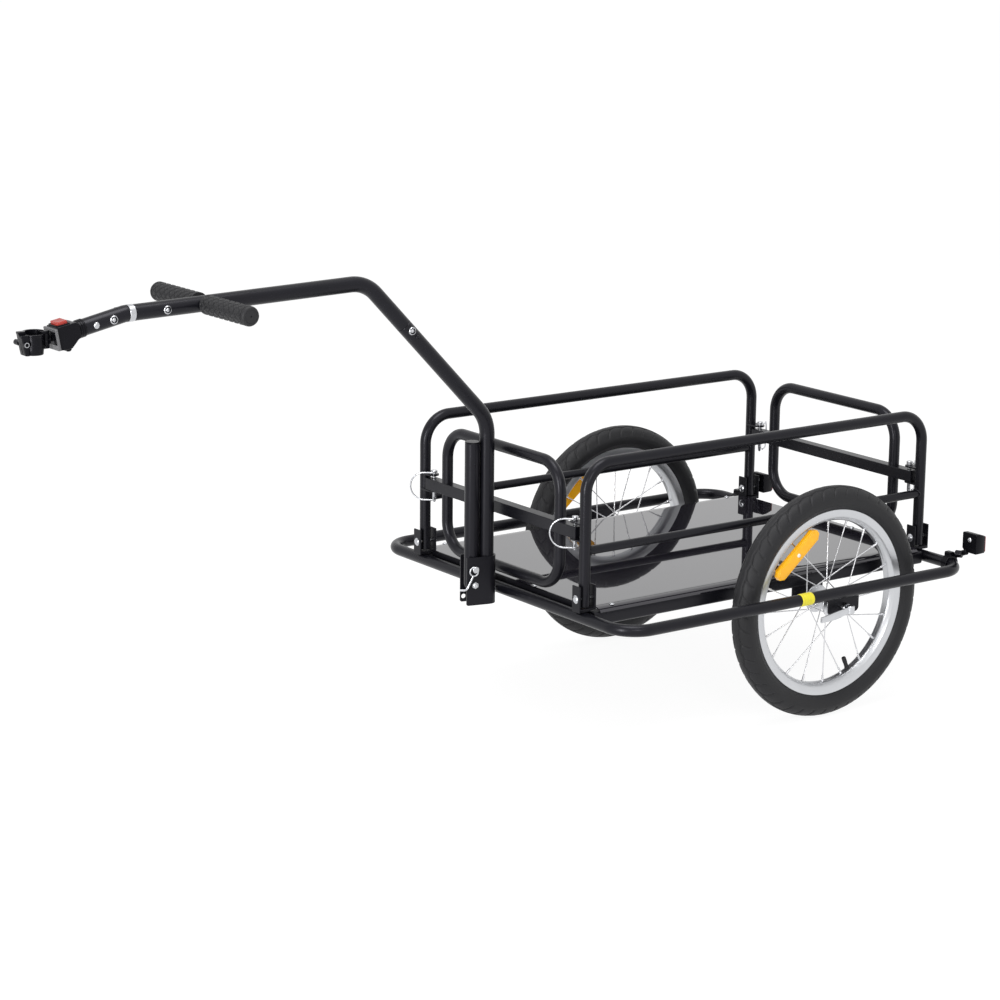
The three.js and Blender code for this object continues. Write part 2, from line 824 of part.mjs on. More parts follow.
// Hub with its spokes: each flange holds half of them, leaning both ways.
function spokedHub() {
  const inner = hubFlangeOffset - hubFlangeWidth / 2;
  const outer = hubFlangeOffset + hubFlangeWidth / 2;
  const half = [
    [hubBodyRadius, 0],
    [hubBodyRadius, inner],
    [hubFlangeRadius, inner],
    [hubFlangeRadius, outer],
    [hubBodyRadius, outer],
    [hubEndRadius, (outer + hubHalfLength) / 2],
    [hubEndRadius, hubHalfLength],
    [hubBore, hubHalfLength],
  ];
  const mirrored = half.map(([radius, height]) => [radius, -height]).reverse();
  const profile = [...mirrored, ...half.slice(1), mirrored[0]];
  const pieces = [turned(profile, point(0, 0, 0), yAxis, tubeSides)];
  const reach = (rimRadius - rimDepth) * Math.cos(Math.PI / wheelSegments) - fitGap;
  for (let i = 0; i < spokeCount; i++) {
    const flange = i % 2 ? hubFlangeOffset : -hubFlangeOffset;
    const lean = Math.floor(i / 2) % 2 ? spokeCross : -spokeCross;
    const rimAngle = (2 * Math.PI * i) / spokeCount;
    const hubAngle = rimAngle + lean;
    const from = point(Math.cos(hubAngle), 0, Math.sin(hubAngle)).multiplyScalar(spokeCircle);
    const to = point(Math.cos(rimAngle), 0, Math.sin(rimAngle)).multiplyScalar(reach);
    from.y = flange;
    to.y = flange > 0 ? spokeRadius : -spokeRadius;
    pieces.push(bar(from, to, spokeRadius, spokeSides));
  }
  return join(...pieces);
}

function valve() {
  const base = (rimRadius - rimDepth) * Math.cos(Math.PI / wheelSegments) - fitGap;
  const profile = [
    [0, 0],
    [valveRadius, 0],
    [valveRadius, valveLength / 4],
    [valveRadius * Math.SQRT1_2, valveLength / 3],
    [valveRadius * Math.SQRT1_2, valveLength - valveRadius],
    [valveRadius / 2, valveLength],
    [0, valveLength],
  ];
  const angle = THREE.MathUtils.degToRad(valveAngle);
  const way = point(Math.cos(angle), 0, Math.sin(angle));
  return turned(profile, way.clone().multiplyScalar(base), way.clone().negate());
}

// A flat reflector clipped on the outer side of the spokes.
function wheelReflector(sign) {
  const inner = wheelReflectorRadius - wheelReflectorWidth / 2;
  const half = wheelReflectorLength / 2;
  const c = wheelReflectorWidth / 4;
  const outline = [
    [-half + c, inner],
    [half - c, inner],
    [half, inner + c],
    [half, inner + 3 * c],
    [half - c, inner + 4 * c],
    [-half + c, inner + 4 * c],
    [-half, inner + 3 * c],
    [-half, inner + c],
  ];
  const plate = plateAcrossY(outline, sign * wheelReflectorOffset, wheelReflectorDepth);
  const lean = THREE.MathUtils.degToRad(wheelReflectorAngle);
  return plate.rotateY(Math.PI / 2 - lean);
}

for (const { label, sign } of sides) {
  const wheel = new THREE.Group();
  wheel.name = "wheel_" + label;
  wheel.position.set(0, sign * wheelOffset, wheelRadius);
  trailer.add(wheel);
  add(wheel, "tyre_" + label, tyre(), rubber);
  add(wheel, "rim_" + label, rim(), alloy);
  add(wheel, "spoked_hub_" + label, spokedHub(), alloy);
  add(wheel, "valve_" + label, valve(), rubber);
  add(wheel, "wheel_reflector_" + label, wheelReflector(sign), amber);
}

// Quick-release axles: the nut is inboard, and the lever outboard below the rail.
for (const { label, sign } of sides) {
  const way = yAxis.clone().multiplyScalar(sign);
  const inner = innerPlateY - dropoutThickness / 2 - fitGap;
  const outer = outerPlateY + dropoutThickness / 2 + fitGap;
  const plateIn = innerPlateY + dropoutThickness / 2;
  const plateOut = outerPlateY - dropoutThickness / 2;
  const profile = [
    [0, inner - skewerInnerNut],
    [skewerNutRadius, inner - skewerInnerNut],
    [skewerNutRadius, inner],
    [axleEndRadius, inner],
    [axleEndRadius, plateIn],
    [skewerRadius, plateIn],
    [skewerRadius, plateOut],
    [axleEndRadius, plateOut],
    [axleEndRadius, outer],
    [skewerNutRadius, outer],
    [skewerNutRadius, outer + skewerNutWidth],
    [0, outer + skewerNutWidth],
  ];
  add(trailer, "axle_skewer_" + label, turned(profile, point(0, 0, wheelRadius), way), zinc);
  const leverY = outer + skewerNutWidth + fitGap + leverHubRadius;
  const centre = point(0, sign * leverY, wheelRadius);
  const cam = bar(
    centre.clone().addScaledVector(zAxis, -leverHubHalf),
    centre.clone().addScaledVector(zAxis, leverHubHalf),
    leverHubRadius,
  );
  const arm = new THREE.BoxGeometry(leverLength, leverThickness, leverWidth);
  arm.translate(leverLength / 2, 0, 0);
  arm.rotateY(Math.atan2(leverDrop, leverLength));
  arm.translate(...centre.toArray());
  const lever = join(cam, arm);
  add(trailer, "axle_lever_" + label, lever, alloy);
}

// Drawbar
const drawbarPath = rounded(
  [
    point(drawbarX, 0, drawbarFoot),
    point(drawbarX, 0, bendLowZ),
    point(bendHighX, 0, bendHighZ),
    point(drawbarEndX, 0, drawbarEndZ),
  ],
  bendRadius,
);
const slope = point(bendHighX - drawbarX, 0, bendHighZ - bendLowZ).normalize();
const onSlope = (x) => {
  const start = point(drawbarX, 0, bendLowZ);
  return start.addScaledVector(slope, (x - drawbarX) / slope.x);
};
const seam = onSlope(jointX);
const lowerPath = drawbarPath.filter((spot) => spot.x < jointX);
const upperPath = drawbarPath.filter((spot) => spot.x >= jointX);
lowerPath.push(seam.clone().addScaledVector(slope, -fitGap));
upperPath.unshift(seam);
const crossHoles = (spot, radius) =>
  bar(
    spot.clone().addScaledVector(yAxis, -2 * drawbarRadius),
    spot.clone().addScaledVector(yAxis, 2 * drawbarRadius),
    radius + fitGap,
  );
const jointBoltAt = onSlope(jointBoltX);
const snapAt = onSlope(snapButtonX);
const snapHole = bar(
  snapAt.clone().addScaledVector(yAxis, -snapTravel - fitGap),
  snapAt.clone().addScaledVector(yAxis, 2 * drawbarRadius),
  snapButtonRadius + fitGap,
);
add(
  trailer,
  "drawbar_lower",
  cut(
    tube(lowerPath, drawbarRadius),
    crossHoles(jointBoltAt, crossBoltRadius),
    bracketBore,
    snapHole,
  ),
  gloss,
);

const drawbarEnd = point(drawbarEndX, 0, drawbarEndZ);
const highBend = point(bendHighX, 0, bendHighZ);
const run = drawbarEnd.clone().sub(highBend).normalize();
const handleAt = highBend.clone().addScaledVector(run, (handleX - bendHighX) / run.x);
const sleeveBoltAt = highBend.clone().addScaledVector(run, (sleeveBoltX - bendHighX) / run.x);
const spigotBore = bar(
  drawbarEnd.clone().addScaledVector(run, -spigotBack - fitGap),
  drawbarEnd.clone().addScaledVector(run, sleeveLength + spigotFront + 3 * fitGap),
  spigotRadius + fitGap,
  tubeSides,
);
const handleEnd = handleHalfLength - gripEndStep;
const handle = bar(
  handleAt.clone().addScaledVector(yAxis, -handleEnd + gripEndStep),
  handleAt.clone().addScaledVector(yAxis, handleEnd - gripEndStep),
  handleCoreRadius,
);
add(
  trailer,
  "drawbar_upper",
  cut(
    join(tube(upperPath, drawbarRadius), handle),
    crossHoles(sleeveBoltAt, crossBoltRadius),
    spigotBore,
  ),
  gloss,
);

// A bolt through the tube with a domed head on the left and a nut on the right.
function crossBolt(at, halfGrip, radius, headRadius, headHeight) {
  const half = halfGrip + fitGap;
  const profile = [
    [0, -half - headHeight],
    [headRadius, -half - headHeight],
    [headRadius, -half],
    [radius, -half],
    [radius, half],
    [headRadius, half],
    [headRadius, half + headHeight / 2],
    [headRadius / 2, half + headHeight],
    [0, half + headHeight],
  ];
  return turned(profile, at, yAxis);
}
const jointBolt = crossBolt(
  jointBoltAt,
  drawbarRadius,
  crossBoltRadius,
  crossBoltHead,
  crossBoltHeadHeight,
);
add(trailer, "drawbar_joint_bolt", jointBolt, zinc);
const snapProfile = [
  [0, 0],
  [snapButtonRadius, 0],
  [snapButtonRadius, drawbarRadius + snapButtonHeight / 2],
  [snapButtonRadius / 2, drawbarRadius + snapButtonHeight],
  [0, drawbarRadius + snapButtonHeight],
];
const snapStart = snapAt.clone().addScaledVector(yAxis, fitGap);
add(trailer, "drawbar_snap_button", turned(snapProfile, snapStart, yAxis), zinc);

// Drawbar channel: a plate bent round the drawbar's foot, turned a little about it.
const channelPlace = new THREE.Matrix4()
  .makeRotationZ(THREE.MathUtils.degToRad(channelTurn))
  .setPosition(drawbarX, 0, 0);
const placed = (geometry) => geometry.applyMatrix4(channelPlace);
function channelSolid(half, bottom, top, front) {
  const back = bar(point(0, 0, bottom), point(0, 0, top), half, 2 * boltSides);
  return join(back, block(point(0, -half, bottom), point(front, half, top)));
}
const channelWall = channelHalfWidth - channelThickness;
const channelRoom = channelSolid(
  channelWall,
  channelBottom - channelThickness,
  channelTop + channelThickness,
  channelLength + channelThickness,
);
const legPivot = point(legAhead, 0, legPivotHeight);
const lockAt = legPivot.clone().addScaledVector(zAxis, lockHoleSpacing);
const downLock = legPivot
  .clone()
  .addScaledVector(xAxis, lockHoleSpacing * Math.sin(THREE.MathUtils.degToRad(legLean)))
  .addScaledVector(zAxis, -lockHoleSpacing * Math.cos(THREE.MathUtils.degToRad(legLean)));
const channelHoles = [legPivot, lockAt, downLock].map((spot) =>
  bar(
    spot.clone().addScaledVector(yAxis, -2 * channelHalfWidth),
    spot.clone().addScaledVector(yAxis, 2 * channelHalfWidth),
    legBoltRadius + fitGap,
  ),
);
const channelBent = cut(
  channelSolid(channelHalfWidth, channelBottom, channelTop, channelLength),
  channelRoom,
  ...channelHoles,
);
add(trailer, "drawbar_bracket", cut(placed(channelBent), bracketBore), satin);

// The channel's bolt: its head behind the rail, and a nut between rail and channel.
const bracketHeadFace = railFront - railRadius - fitGap;
const nutBack = railFront + railRadius + fitGap;
const nutFront = drawbarX - channelHalfWidth - fitGap;
const bracketBolt = turned(
  [
    [0, bracketHeadFace - crossBoltHeadHeight],
    [crossBoltHead, bracketHeadFace - crossBoltHeadHeight],
    [crossBoltHead, bracketHeadFace],
    [crossBoltRadius, bracketHeadFace],
    [crossBoltRadius, nutBack],
    [crossBoltHead, nutBack],
    [crossBoltHead, nutFront],
    [crossBoltRadius, nutFront],
    [crossBoltRadius, drawbarX],
    [0, drawbarX],
  ],
  point(0, 0, railHeight),
  xAxis,
);
add(trailer, "drawbar_bracket_bolt", bracketBolt, zinc);

// Stand leg, stowed upright in the channel ahead of the drawbar, with a domed lower end.
const legBore = bar(
  legPivot.clone().addScaledVector(yAxis, -2 * legRadius),
  legPivot.clone().addScaledVector(yAxis, 2 * legRadius),
  legBoltRadius + fitGap,
);
const legProfile = [];
for (let i = 0; i < bendSteps; i++) {
  const angle = (Math.PI * i) / (2 * bendSteps);
  legProfile.push([legRadius * Math.sin(angle), -legRadius * Math.cos(angle)]);
}
legProfile.push([legRadius, 0], [legRadius, legLength], [0, legLength]);
const legBar = turned(legProfile, legPivot, zAxis, tubeSides);
add(trailer, "stand_leg", placed(cut(legBar, legBore)), gloss);
const legBolt = crossBolt(
  legPivot,
  channelHalfWidth,
  legBoltRadius,
  footBoltHead,
  footBoltHeadHeight,
);
add(trailer, "stand_pivot_bolt", placed(legBolt), zinc);

// The stand's lock pin: a short shank in the left wall, with its wire bail hanging forward.
const lockHeadIn = channelHalfWidth + fitGap;
const lockHead = turned(
  [
    [0, channelWall],
    [lockPinRadius, channelWall],
    [lockPinRadius, lockHeadIn],
    [pinHeadRadius, lockHeadIn],
    [pinHeadRadius, lockHeadIn + pinHeadHeight],
    [0, lockHeadIn + pinHeadHeight],
  ],
  lockAt,
  yAxis,
);
const lockBailY = lockHeadIn + pinHeadHeight / 2;
const bailWay = new THREE.CatmullRomCurve3([
  lockAt.clone().add(point(0, lockBailY, 0)),
  lockAt.clone().add(point(lockBailReach / 3, lockBailY, -lockBailDrop / 2)),
  lockAt.clone().add(point((2 * lockBailReach) / 3, lockBailY, -lockBailDrop)),
  lockAt.clone().add(point(lockBailReach, channelWall + lockBailRadius, -lockBailDrop)),
]);
const lockBail = tube(bailWay.getPoints(2 * bendSteps), lockBailRadius, wireSides);
add(trailer, "stand_lock_pin", placed(join(lockHead, lockBail)), zinc);

// Grips pushed on both ends of the handle.
for (const { label, sign } of sides) {
  const start = drawbarRadius + gripClearance;
  const bore = handleCoreRadius + fitGap;
  const stop = handleEnd - gripEndStep + fitGap;
  const ringStart = handleEnd - 2 * gripGrooveLength;
  const profile = [
    [bore, start],
    [gripRadius, start],
    [gripRadius, ringStart],
    [gripRadius - gripGroove, ringStart],
    [gripRadius - gripGroove, ringStart + gripGroove],
    [gripRadius, ringStart + gripGroove],
    [gripRadius, handleEnd],
    [gripEndRadius, handleHalfLength - gripGroove],
    [gripEndRadius / 2, handleHalfLength],
    [0, handleHalfLength],
    [0, stop],
    [bore, stop],
    [bore, start],
  ];
  const way = yAxis.clone().multiplyScalar(sign);
  add(trailer, "handle_grip_" + label, turned(profile, handleAt, way, tubeSides), rubber);
}

// Connector: a plain ring between the drawbar and the hitch tube, with a spigot inside each.
const ringFrom = drawbarEnd.clone().addScaledVector(run, fitGap);
const ringTo = ringFrom.clone().addScaledVector(run, sleeveLength);
const connector = join(
  bar(ringFrom, ringTo, sleeveRadius, tubeSides),
  bar(
    drawbarEnd.clone().addScaledVector(run, -spigotBack),
    ringTo.clone().addScaledVector(run, spigotFront),
    spigotRadius,
    tubeSides,
  ),
);
add(
  trailer,
  "hitch_connector",
  cut(connector, crossHoles(sleeveBoltAt, crossBoltRadius)),
  zinc,
);
const sleeveBolt = crossBolt(
  sleeveBoltAt,
  drawbarRadius,
  crossBoltRadius,
  crossBoltHead,
  crossBoltHeadHeight,
);
add(trailer, "hitch_connector_bolt", sleeveBolt, zinc);

// Hitch tube, dropped towards the coupling block.
const hitchStart = ringTo.clone().addScaledVector(run, fitGap);
const hitchEnd = point(hitchTubeEndX, 0, hitchTubeEndZ);
const hitchBend = hitchStart.clone().addScaledVector(run, 2 * hitchTubeRadius);
const hitchPath = rounded([hitchStart, hitchBend, hitchEnd], hitchTubeRadius, false, shortBendSteps);
const hitchTube = cut(tube(hitchPath, hitchTubeRadius), spigotBore);
add(trailer, "hitch_tube", hitchTube, gloss);

// Coupling block: a collar for the tube, a front flange, and a well for the release button.
const dropWay = hitchEnd.clone().sub(hitchBend).normalize();
const collar = bar(
  hitchEnd.clone().addScaledVector(dropWay, -collarLength),
  hitchEnd.clone().addScaledVector(dropWay, blockChamfer),
  collarRadius,
  tubeSides,
);
const blockOutline = [
  [blockRear, blockBottom + 2 * blockChamfer],
  [blockRear + 2 * blockChamfer, blockBottom],
  [blockFront, blockBottom],
  [blockFront, blockTop],
  [blockRear + blockChamfer, blockTop],
  [blockRear, blockTop - blockChamfer],
];
const flange = block(
  point(blockFront - weldDepth, -flangeHalfWidth, flangeBottom),
  point(blockFront + flangeThickness, flangeHalfWidth, flangeTop),
);
const buttonFront = blockFront - blockChamfer;
const buttonRear = buttonFront - buttonLength;
const buttonBottom = blockTop - buttonSink;
const well = block(
  point(buttonRear - fitGap, -buttonHalfWidth - fitGap, buttonBottom - buttonTravel - fitGap),
  point(buttonFront + fitGap, buttonHalfWidth + fitGap, blockTop + buttonHeight),
);
const tubeSocket = bar(
  hitchEnd.clone().addScaledVector(dropWay, -2 * collarLength),
  hitchEnd.clone().addScaledVector(dropWay, fitGap),
  hitchTubeRadius + fitGap,
  tubeSides,
);
const swivelAt = point(blockFront + flangeThickness + fitGap, 0, swivelHeight);
const stemBore = bar(
  swivelAt.clone().addScaledVector(xAxis, -stemLength - fitGap),
  swivelAt.clone().addScaledVector(xAxis, stemLength),
  stemRadius + fitGap,
);
const blockBody = plateAcrossY(blockOutline, 0, 2 * blockHalfWidth);
const hitchBlock = cut(join(blockBody, collar, flange), well, tubeSocket, stemBore);
add(trailer, "hitch_block", hitchBlock, plastic);
const button = block(
  point(buttonRear, -buttonHalfWidth, buttonBottom),
  point(buttonFront, buttonHalfWidth, buttonBottom + buttonHeight),
);
add(trailer, "hitch_release_button", button, red);

// Swivel: its stem turns in the block, and the clamp turns about its upright barrel.
const stem = bar(
  swivelAt.clone().addScaledVector(xAxis, -stemLength),
  swivelAt.clone().addScaledVector(xAxis, bossDepth),
  stemRadius,
);
const boss = block(
  point(swivelAt.x, -bossHalf, swivelHeight - bossHalf),
  point(swivelAt.x + bossDepth, bossHalf, swivelHeight + bossHalf),
);
const barrel = bar(
  point(barrelX, 0, swivelHeight - barrelHalf),
  point(barrelX, 0, swivelHeight + barrelHalf),
  barrelRadius,
);
add(trailer, "hitch_swivel", join(stem, boss, barrel), plastic);

// Clamp: two tapered half rings round an upright seat post, with a nose that takes the bolt.
function clampHalf(sign, holeRadius) {
  const ring = [
    [0, -clampHalfHeight],
    [clampBottomRadius, -clampHalfHeight],
    [clampTopRadius, clampHalfHeight],
    [0, clampHalfHeight],
  ];
  const body = turned(ring, point(clampX, 0, swivelHeight), zAxis, 2 * boltSides);
  const nose = block(
    point(clampX, -noseHalfWidth, swivelHeight - clampHalfHeight / 2),
    point(clampNose, noseHalfWidth, swivelHeight + clampHalfHeight / 2),
  );
  const post = bar(
    point(clampX, 0, swivelHeight - 2 * clampHalfHeight),
    point(clampX, 0, swivelHeight + 2 * clampHalfHeight),
    clampBore,
    2 * boltSides,
  );
  const far = 2 * clampTopRadius;
  const edge = (sign * clampSplit) / 2;
  const otherHalf = block(
    point(clampX - far, Math.min(edge, -sign * far), swivelHeight - far),
    point(clampX + far, Math.max(edge, -sign * far), swivelHeight + far),
  );
  const boltHole = bar(
    point(clampBoltX, -far, swivelHeight),
    point(clampBoltX, far, swivelHeight),
    holeRadius,
  );
  return cut(join(body, nose), post, otherHalf, boltHole);
}
const clampRear = clampX - clampBottomRadius;
const forkLevels = [barrelHalf + fitGap, -barrelHalf - fitGap - forkThickness];
const forks = forkLevels.flatMap((level) => {
  const low = swivelHeight + level;
  const eye = bar(
    point(barrelX, 0, low),
    point(barrelX, 0, low + forkThickness),
    barrelRadius,
  );
  const arm = block(
    point(barrelX, -barrelRadius, low),
    point(clampRear + weldDepth, 0, low + forkThickness),
  );
  return [eye, arm];
});
const baseHalf = clampHalf(-1, clampBoltRadius + fitGap);
add(trailer, "clamp_base", join(baseHalf, ...forks), plastic);
add(trailer, "clamp_jaw", clampHalf(1, clampBoltSlack), plastic);
const noseGrip = noseHalfWidth + fitGap;
const clampBolt = turned(
  [
    [0, -noseGrip],
    [clampBoltRadius, -noseGrip],
    [clampBoltRadius, noseGrip],
    [clampBoltHead, noseGrip],
    [clampBoltHead, noseGrip + clampBoltHead],
    [0, noseGrip + clampBoltHead],
  ],
  point(clampBoltX, 0, swivelHeight),
  yAxis,
);
add(trailer, "clamp_bolt", clampBolt, zinc);

// Rear reflectors: each is clipped to the rear rail, with an arm up to its housing.
for (const { label, sign } of sides) {
  const clipY = sign > 0 ? rearClipLeft : rearClipRight;
  const y = clipY + rearReflectorShift;
  const c = rearReflectorChamfer;
  const outline = [
    [rearReflectorFront, rearReflectorBottom],
    [rearReflectorFront, rearReflectorTop],
    [rearReflectorRear + c, rearReflectorTop],
    [rearReflectorRear, rearReflectorTop - c],
    [rearReflectorRear, rearReflectorBottom + c],
    [rearReflectorRear + c, rearReflectorBottom],
  ];
  const housing = plateAcrossY(outline, y, 2 * rearReflectorHalfWidth);
  const clip = bar(
    point(railRear, clipY - clipHalfLength, railHeight),
    point(railRear, clipY + clipHalfLength, railHeight),
    clipRadius,
    tubeSides,
  );
  const arm = bar(
    point(railRear - clipRadius, clipY, railHeight + clipRadius / 2),
    point(rearReflectorFront - armRadius, y - armRadius, rearReflectorBottom + armRadius),
    armRadius,
  );
  const grownRail = tube(
    rounded(railCorners, railCorner, true),
    railRadius + fitGap,
    tubeSides,
    true,
  );
  const body = cut(join(housing, clip, arm), grownRail);
  add(trailer, "rear_reflector_" + label, body, lensRed);
}

// The finished part is centred on its footprint.
trailer.updateMatrixWorld(true);
const extent = new THREE.Box3().setFromObject(trailer, true);
trailer.position.x = -(extent.min.x + extent.max.x) / 2;
trailer.position.y = -(extent.min.y + extent.max.y) / 2;
trailer.position.z = -extent.min.z;

export default trailer;
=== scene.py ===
# %% [markdown]
# # A cargo trailer for a bicycle
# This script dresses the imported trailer: it loads the model as a fixed frame, and makes the
# surfaces that a viewer sees round it. Lengths are in millimetres along the trailer from the
# wheel axle, as a workshop drawing would have them, until one helper turns them into metres.

import math

import bmesh
import bpy
import numpy as np
from mathutils import Matrix, Vector


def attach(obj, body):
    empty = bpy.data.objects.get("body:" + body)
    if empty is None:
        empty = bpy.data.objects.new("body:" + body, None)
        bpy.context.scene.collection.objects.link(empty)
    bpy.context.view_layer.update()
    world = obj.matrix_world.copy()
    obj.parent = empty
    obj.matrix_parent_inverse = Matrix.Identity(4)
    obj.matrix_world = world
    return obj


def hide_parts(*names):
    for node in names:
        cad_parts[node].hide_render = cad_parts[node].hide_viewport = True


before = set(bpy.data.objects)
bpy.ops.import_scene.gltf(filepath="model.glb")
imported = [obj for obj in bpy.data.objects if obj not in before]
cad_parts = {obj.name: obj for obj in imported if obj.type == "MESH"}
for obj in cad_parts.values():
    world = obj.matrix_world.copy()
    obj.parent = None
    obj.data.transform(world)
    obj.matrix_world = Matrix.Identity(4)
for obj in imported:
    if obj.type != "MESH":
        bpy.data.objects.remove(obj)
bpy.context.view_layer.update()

# %% [markdown]
# ## From a drawing to a mesh
# Every shape below is a list of points and a list of faces. A formula gives all of its points
# at once as an array. The axle stands at x = 0 in these drawings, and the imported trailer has
# it 520.25 mm behind its own middle, so the same helper shifts each shape as it scales it.

# %% Units and directions
MM = 0.001
AXLE_X = -520.25
X = np.array([1.0, 0.0, 0.0])
Y = np.array([0.0, 1.0, 0.0])
Z = np.array([0.0, 0.0, 1.0])
FRONT_X, REAR_X, PIN_Y = 467.0, -272.0, 200.0
SIDES = (("left", 1), ("right", -1))
ENDS = (("front", FRONT_X, 1), ("rear", REAR_X, -1))


def unit(vectors):
    """Each vector divided by its own length."""
    vectors = np.asarray(vectors, float)
    return vectors / np.linalg.norm(vectors, axis=-1, keepdims=True)


def full_turn(count):
    """Angles spread evenly round a circle, in radians."""
    return np.linspace(0, 2 * math.pi, count, endpoint=False)


def in_metres(points):
    """Millimetres from the axle to metres from the trailer's middle."""
    return (np.asarray(points, float) + AXLE_X * X) * MM


# %% Faces of a grid
def grid_faces(rows, columns, wrap_rows=False, wrap_columns=True):
    """Quads between neighbours: the point in row i and column j is number i * columns + j."""
    i, j = np.meshgrid(
        np.arange(rows if wrap_rows else rows - 1),
        np.arange(columns if wrap_columns else columns - 1),
        indexing="ij",
    )
    i2, j2 = (i + 1) % rows, (j + 1) % columns
    corners = [i * columns + j, i * columns + j2, i2 * columns + j2, i2 * columns + j]
    return np.stack(corners, -1).reshape(-1, 4).tolist()


def stacked(loops):
    """Closed loops of one count, each walled to the next, with a flat lid on the first and last."""
    count = len(loops[0])
    last = (len(loops) - 1) * count
    faces = grid_faces(len(loops), count)
    faces += [list(range(count))[::-1], list(range(last, last + count))]
    return np.concatenate(loops), faces


def joined(*shapes):
    """Several shapes as one: each one's faces count on from the points before it."""
    points, faces, start = [], [], 0
    for shape_points, shape_faces in shapes:
        points.append(np.asarray(shape_points, float))
        faces += [[corner + start for corner in face] for face in shape_faces]
        start += len(shape_points)
    return np.concatenate(points), faces


# %% Turning and moving a shape
def turned(shape, axis, degrees, about=(0, 0, 0)):
    """Every point turned about an axis: the rotation matrix applied to its distance from there."""
    matrix = np.array(Matrix.Rotation(math.radians(degrees), 3, Vector(axis)))
    about = np.asarray(about, float)
    return (shape[0] - about) @ matrix.T + about, shape[1]


def moved(shape, offset):
    """Every point plus one offset."""
    return shape[0] + np.asarray(offset, float), shape[1]


# %% [markdown]
# ## Tubes
# The trailer is nearly all bent tube. On the real one a mandrel bends a straight tube round a
# corner of fixed radius, so its middle line is straight pieces joined by arcs. A curve object
# with a bevel would do, but arrays give the ends their chamfer or open bore as well.

# %% A middle line with round corners
def rounded(corners, radius, closed=False, steps=14):
    """Each corner becomes an arc: its centre lies on the bisector, radius / sin(half) away, and
    the arc's points are centre + cos(t) * start + sin(t) * square, for t from 0 to the bend."""
    corners = np.asarray(corners, float)
    path = []
    for i, corner in enumerate(corners):
        if not closed and i in (0, len(corners) - 1):
            path.append(corner[None])
            continue
        back = unit(corners[i - 1] - corner)
        ahead = unit(corners[(i + 1) % len(corners)] - corner)
        half = math.acos(np.clip(back @ ahead, -1, 1)) / 2
        centre = corner + unit(back + ahead) * radius / math.sin(half)
        start = corner + back * radius / math.tan(half) - centre
        square = -back * radius
        t = np.linspace(0, math.pi - 2 * half, steps + 1)[:, None]
        path.append(centre + np.cos(t) * start + np.sin(t) * square)
    return np.concatenate(path)


# %% A round section carried along a line
def carried_frames(path, closed):
    """At each point the line's direction, and one vector square to it that never twists: the
    last one with its share along the new direction taken off."""
    ahead = unit(np.roll(path, -1, 0) - path if closed else np.diff(path, axis=0))
    ahead = ahead if closed else np.concatenate([ahead, ahead[-1:]])
    back = np.roll(ahead, 1, 0)
    if not closed:
        back[0] = ahead[0]
    way = unit(ahead + back)
    bend = np.cross(ahead[:-1], ahead[1:])
    sizes = np.linalg.norm(bend, axis=1)
    if sizes.max(initial=0) > 1e-6:
        across = bend[sizes.argmax()]
    else:
        across = np.cross(way[0], Z if abs(way[0][2]) < 0.7 else X)
    across = unit(across - way[0] * (across @ way[0]))
    normals = [across]
    for direction in way[1:]:
        across = unit(across - direction * (across @ direction))
        normals.append(across)
    return way, np.array(normals)


BORE_DEPTH = 18.0


def tube_end(place, way, radius, chamfer, bore):
    """The rings that close an end, from the wall inwards, as (centre, radius) pairs: each step
    says how much less than the tube's radius, and how far back from the end."""
    steps = [(0, chamfer), (chamfer, 0)]
    if bore:
        wall = radius - bore
        steps += [(max(wall, chamfer), 0), (wall, BORE_DEPTH), (radius, BORE_DEPTH)]
    else:
        steps.append((radius, 0))
    return [(place - way * back, radius - less) for less, back in steps]


def tube(path, radius, sides=32, closed=False, chamfer=0.6, bore=0.0):
    """Points centre + radius * (cos a * normal + sin a * side). Open ends get a small chamfer
    and a flat face, or an open bore of the given radius that goes some way in."""
    path = np.asarray(path, float)
    way, normal = carried_frames(path, closed)
    radii = np.broadcast_to(np.asarray(radius, float), len(path))
    if not closed:
        first = tube_end(path[0], -way[0], radii[0], chamfer, bore)[::-1]
        last = tube_end(path[-1], way[-1], radii[-1], chamfer, bore)
        path = np.array([p for p, _ in first] + list(path[1:-1]) + [p for p, _ in last])
        radii = np.array([r for _, r in first] + list(radii[1:-1]) + [r for _, r in last])
        grow = len(first) - 1
        pick = np.clip(np.arange(len(path)) - grow, 0, len(way) - 1)
        way, normal = way[pick], normal[pick]
    side = np.cross(way, normal)
    a = full_turn(sides)[None, :, None]
    ring = np.cos(a) * normal[:, None] + np.sin(a) * side[:, None]
    points = path[:, None] + radii[:, None, None] * ring
    return points.reshape(-1, 3), grid_faces(len(path), sides, closed)


# %% [markdown]
# ## Turned parts and cut plates
# Bolts, pins, hubs and rims come off a lathe, so they are profiles spun about an axis. Brackets
# and tabs are cut from plate or bar, so they are outlines pushed along a line; a Bevel modifier
# then breaks their edges as the tumbler does on the real ones.

# %% Spun and pushed shapes
def lathe(profile, centre, axis=Z, segments=48):
    """Each (radius, height) pair is a ring: centre + height * axis + radius * (cos a, sin a)."""
    profile = np.asarray(profile, float)
    axis = unit(axis)
    first = unit(np.cross(axis, X if abs(axis[0]) < 0.8 else Y))
    second = np.cross(axis, first)
    a = full_turn(segments)[:, None]
    ring = np.cos(a) * first + np.sin(a) * second
    points = np.asarray(centre, float) + profile[:, 1, None, None] * axis
    points = points + profile[:, 0, None, None] * ring[None]
    return points.reshape(-1, 3), grid_faces(len(profile), segments)


def at_height(outline, z):
    """A flat outline's points, all at one height."""
    return np.c_[np.asarray(outline, float), np.full(len(outline), z)]


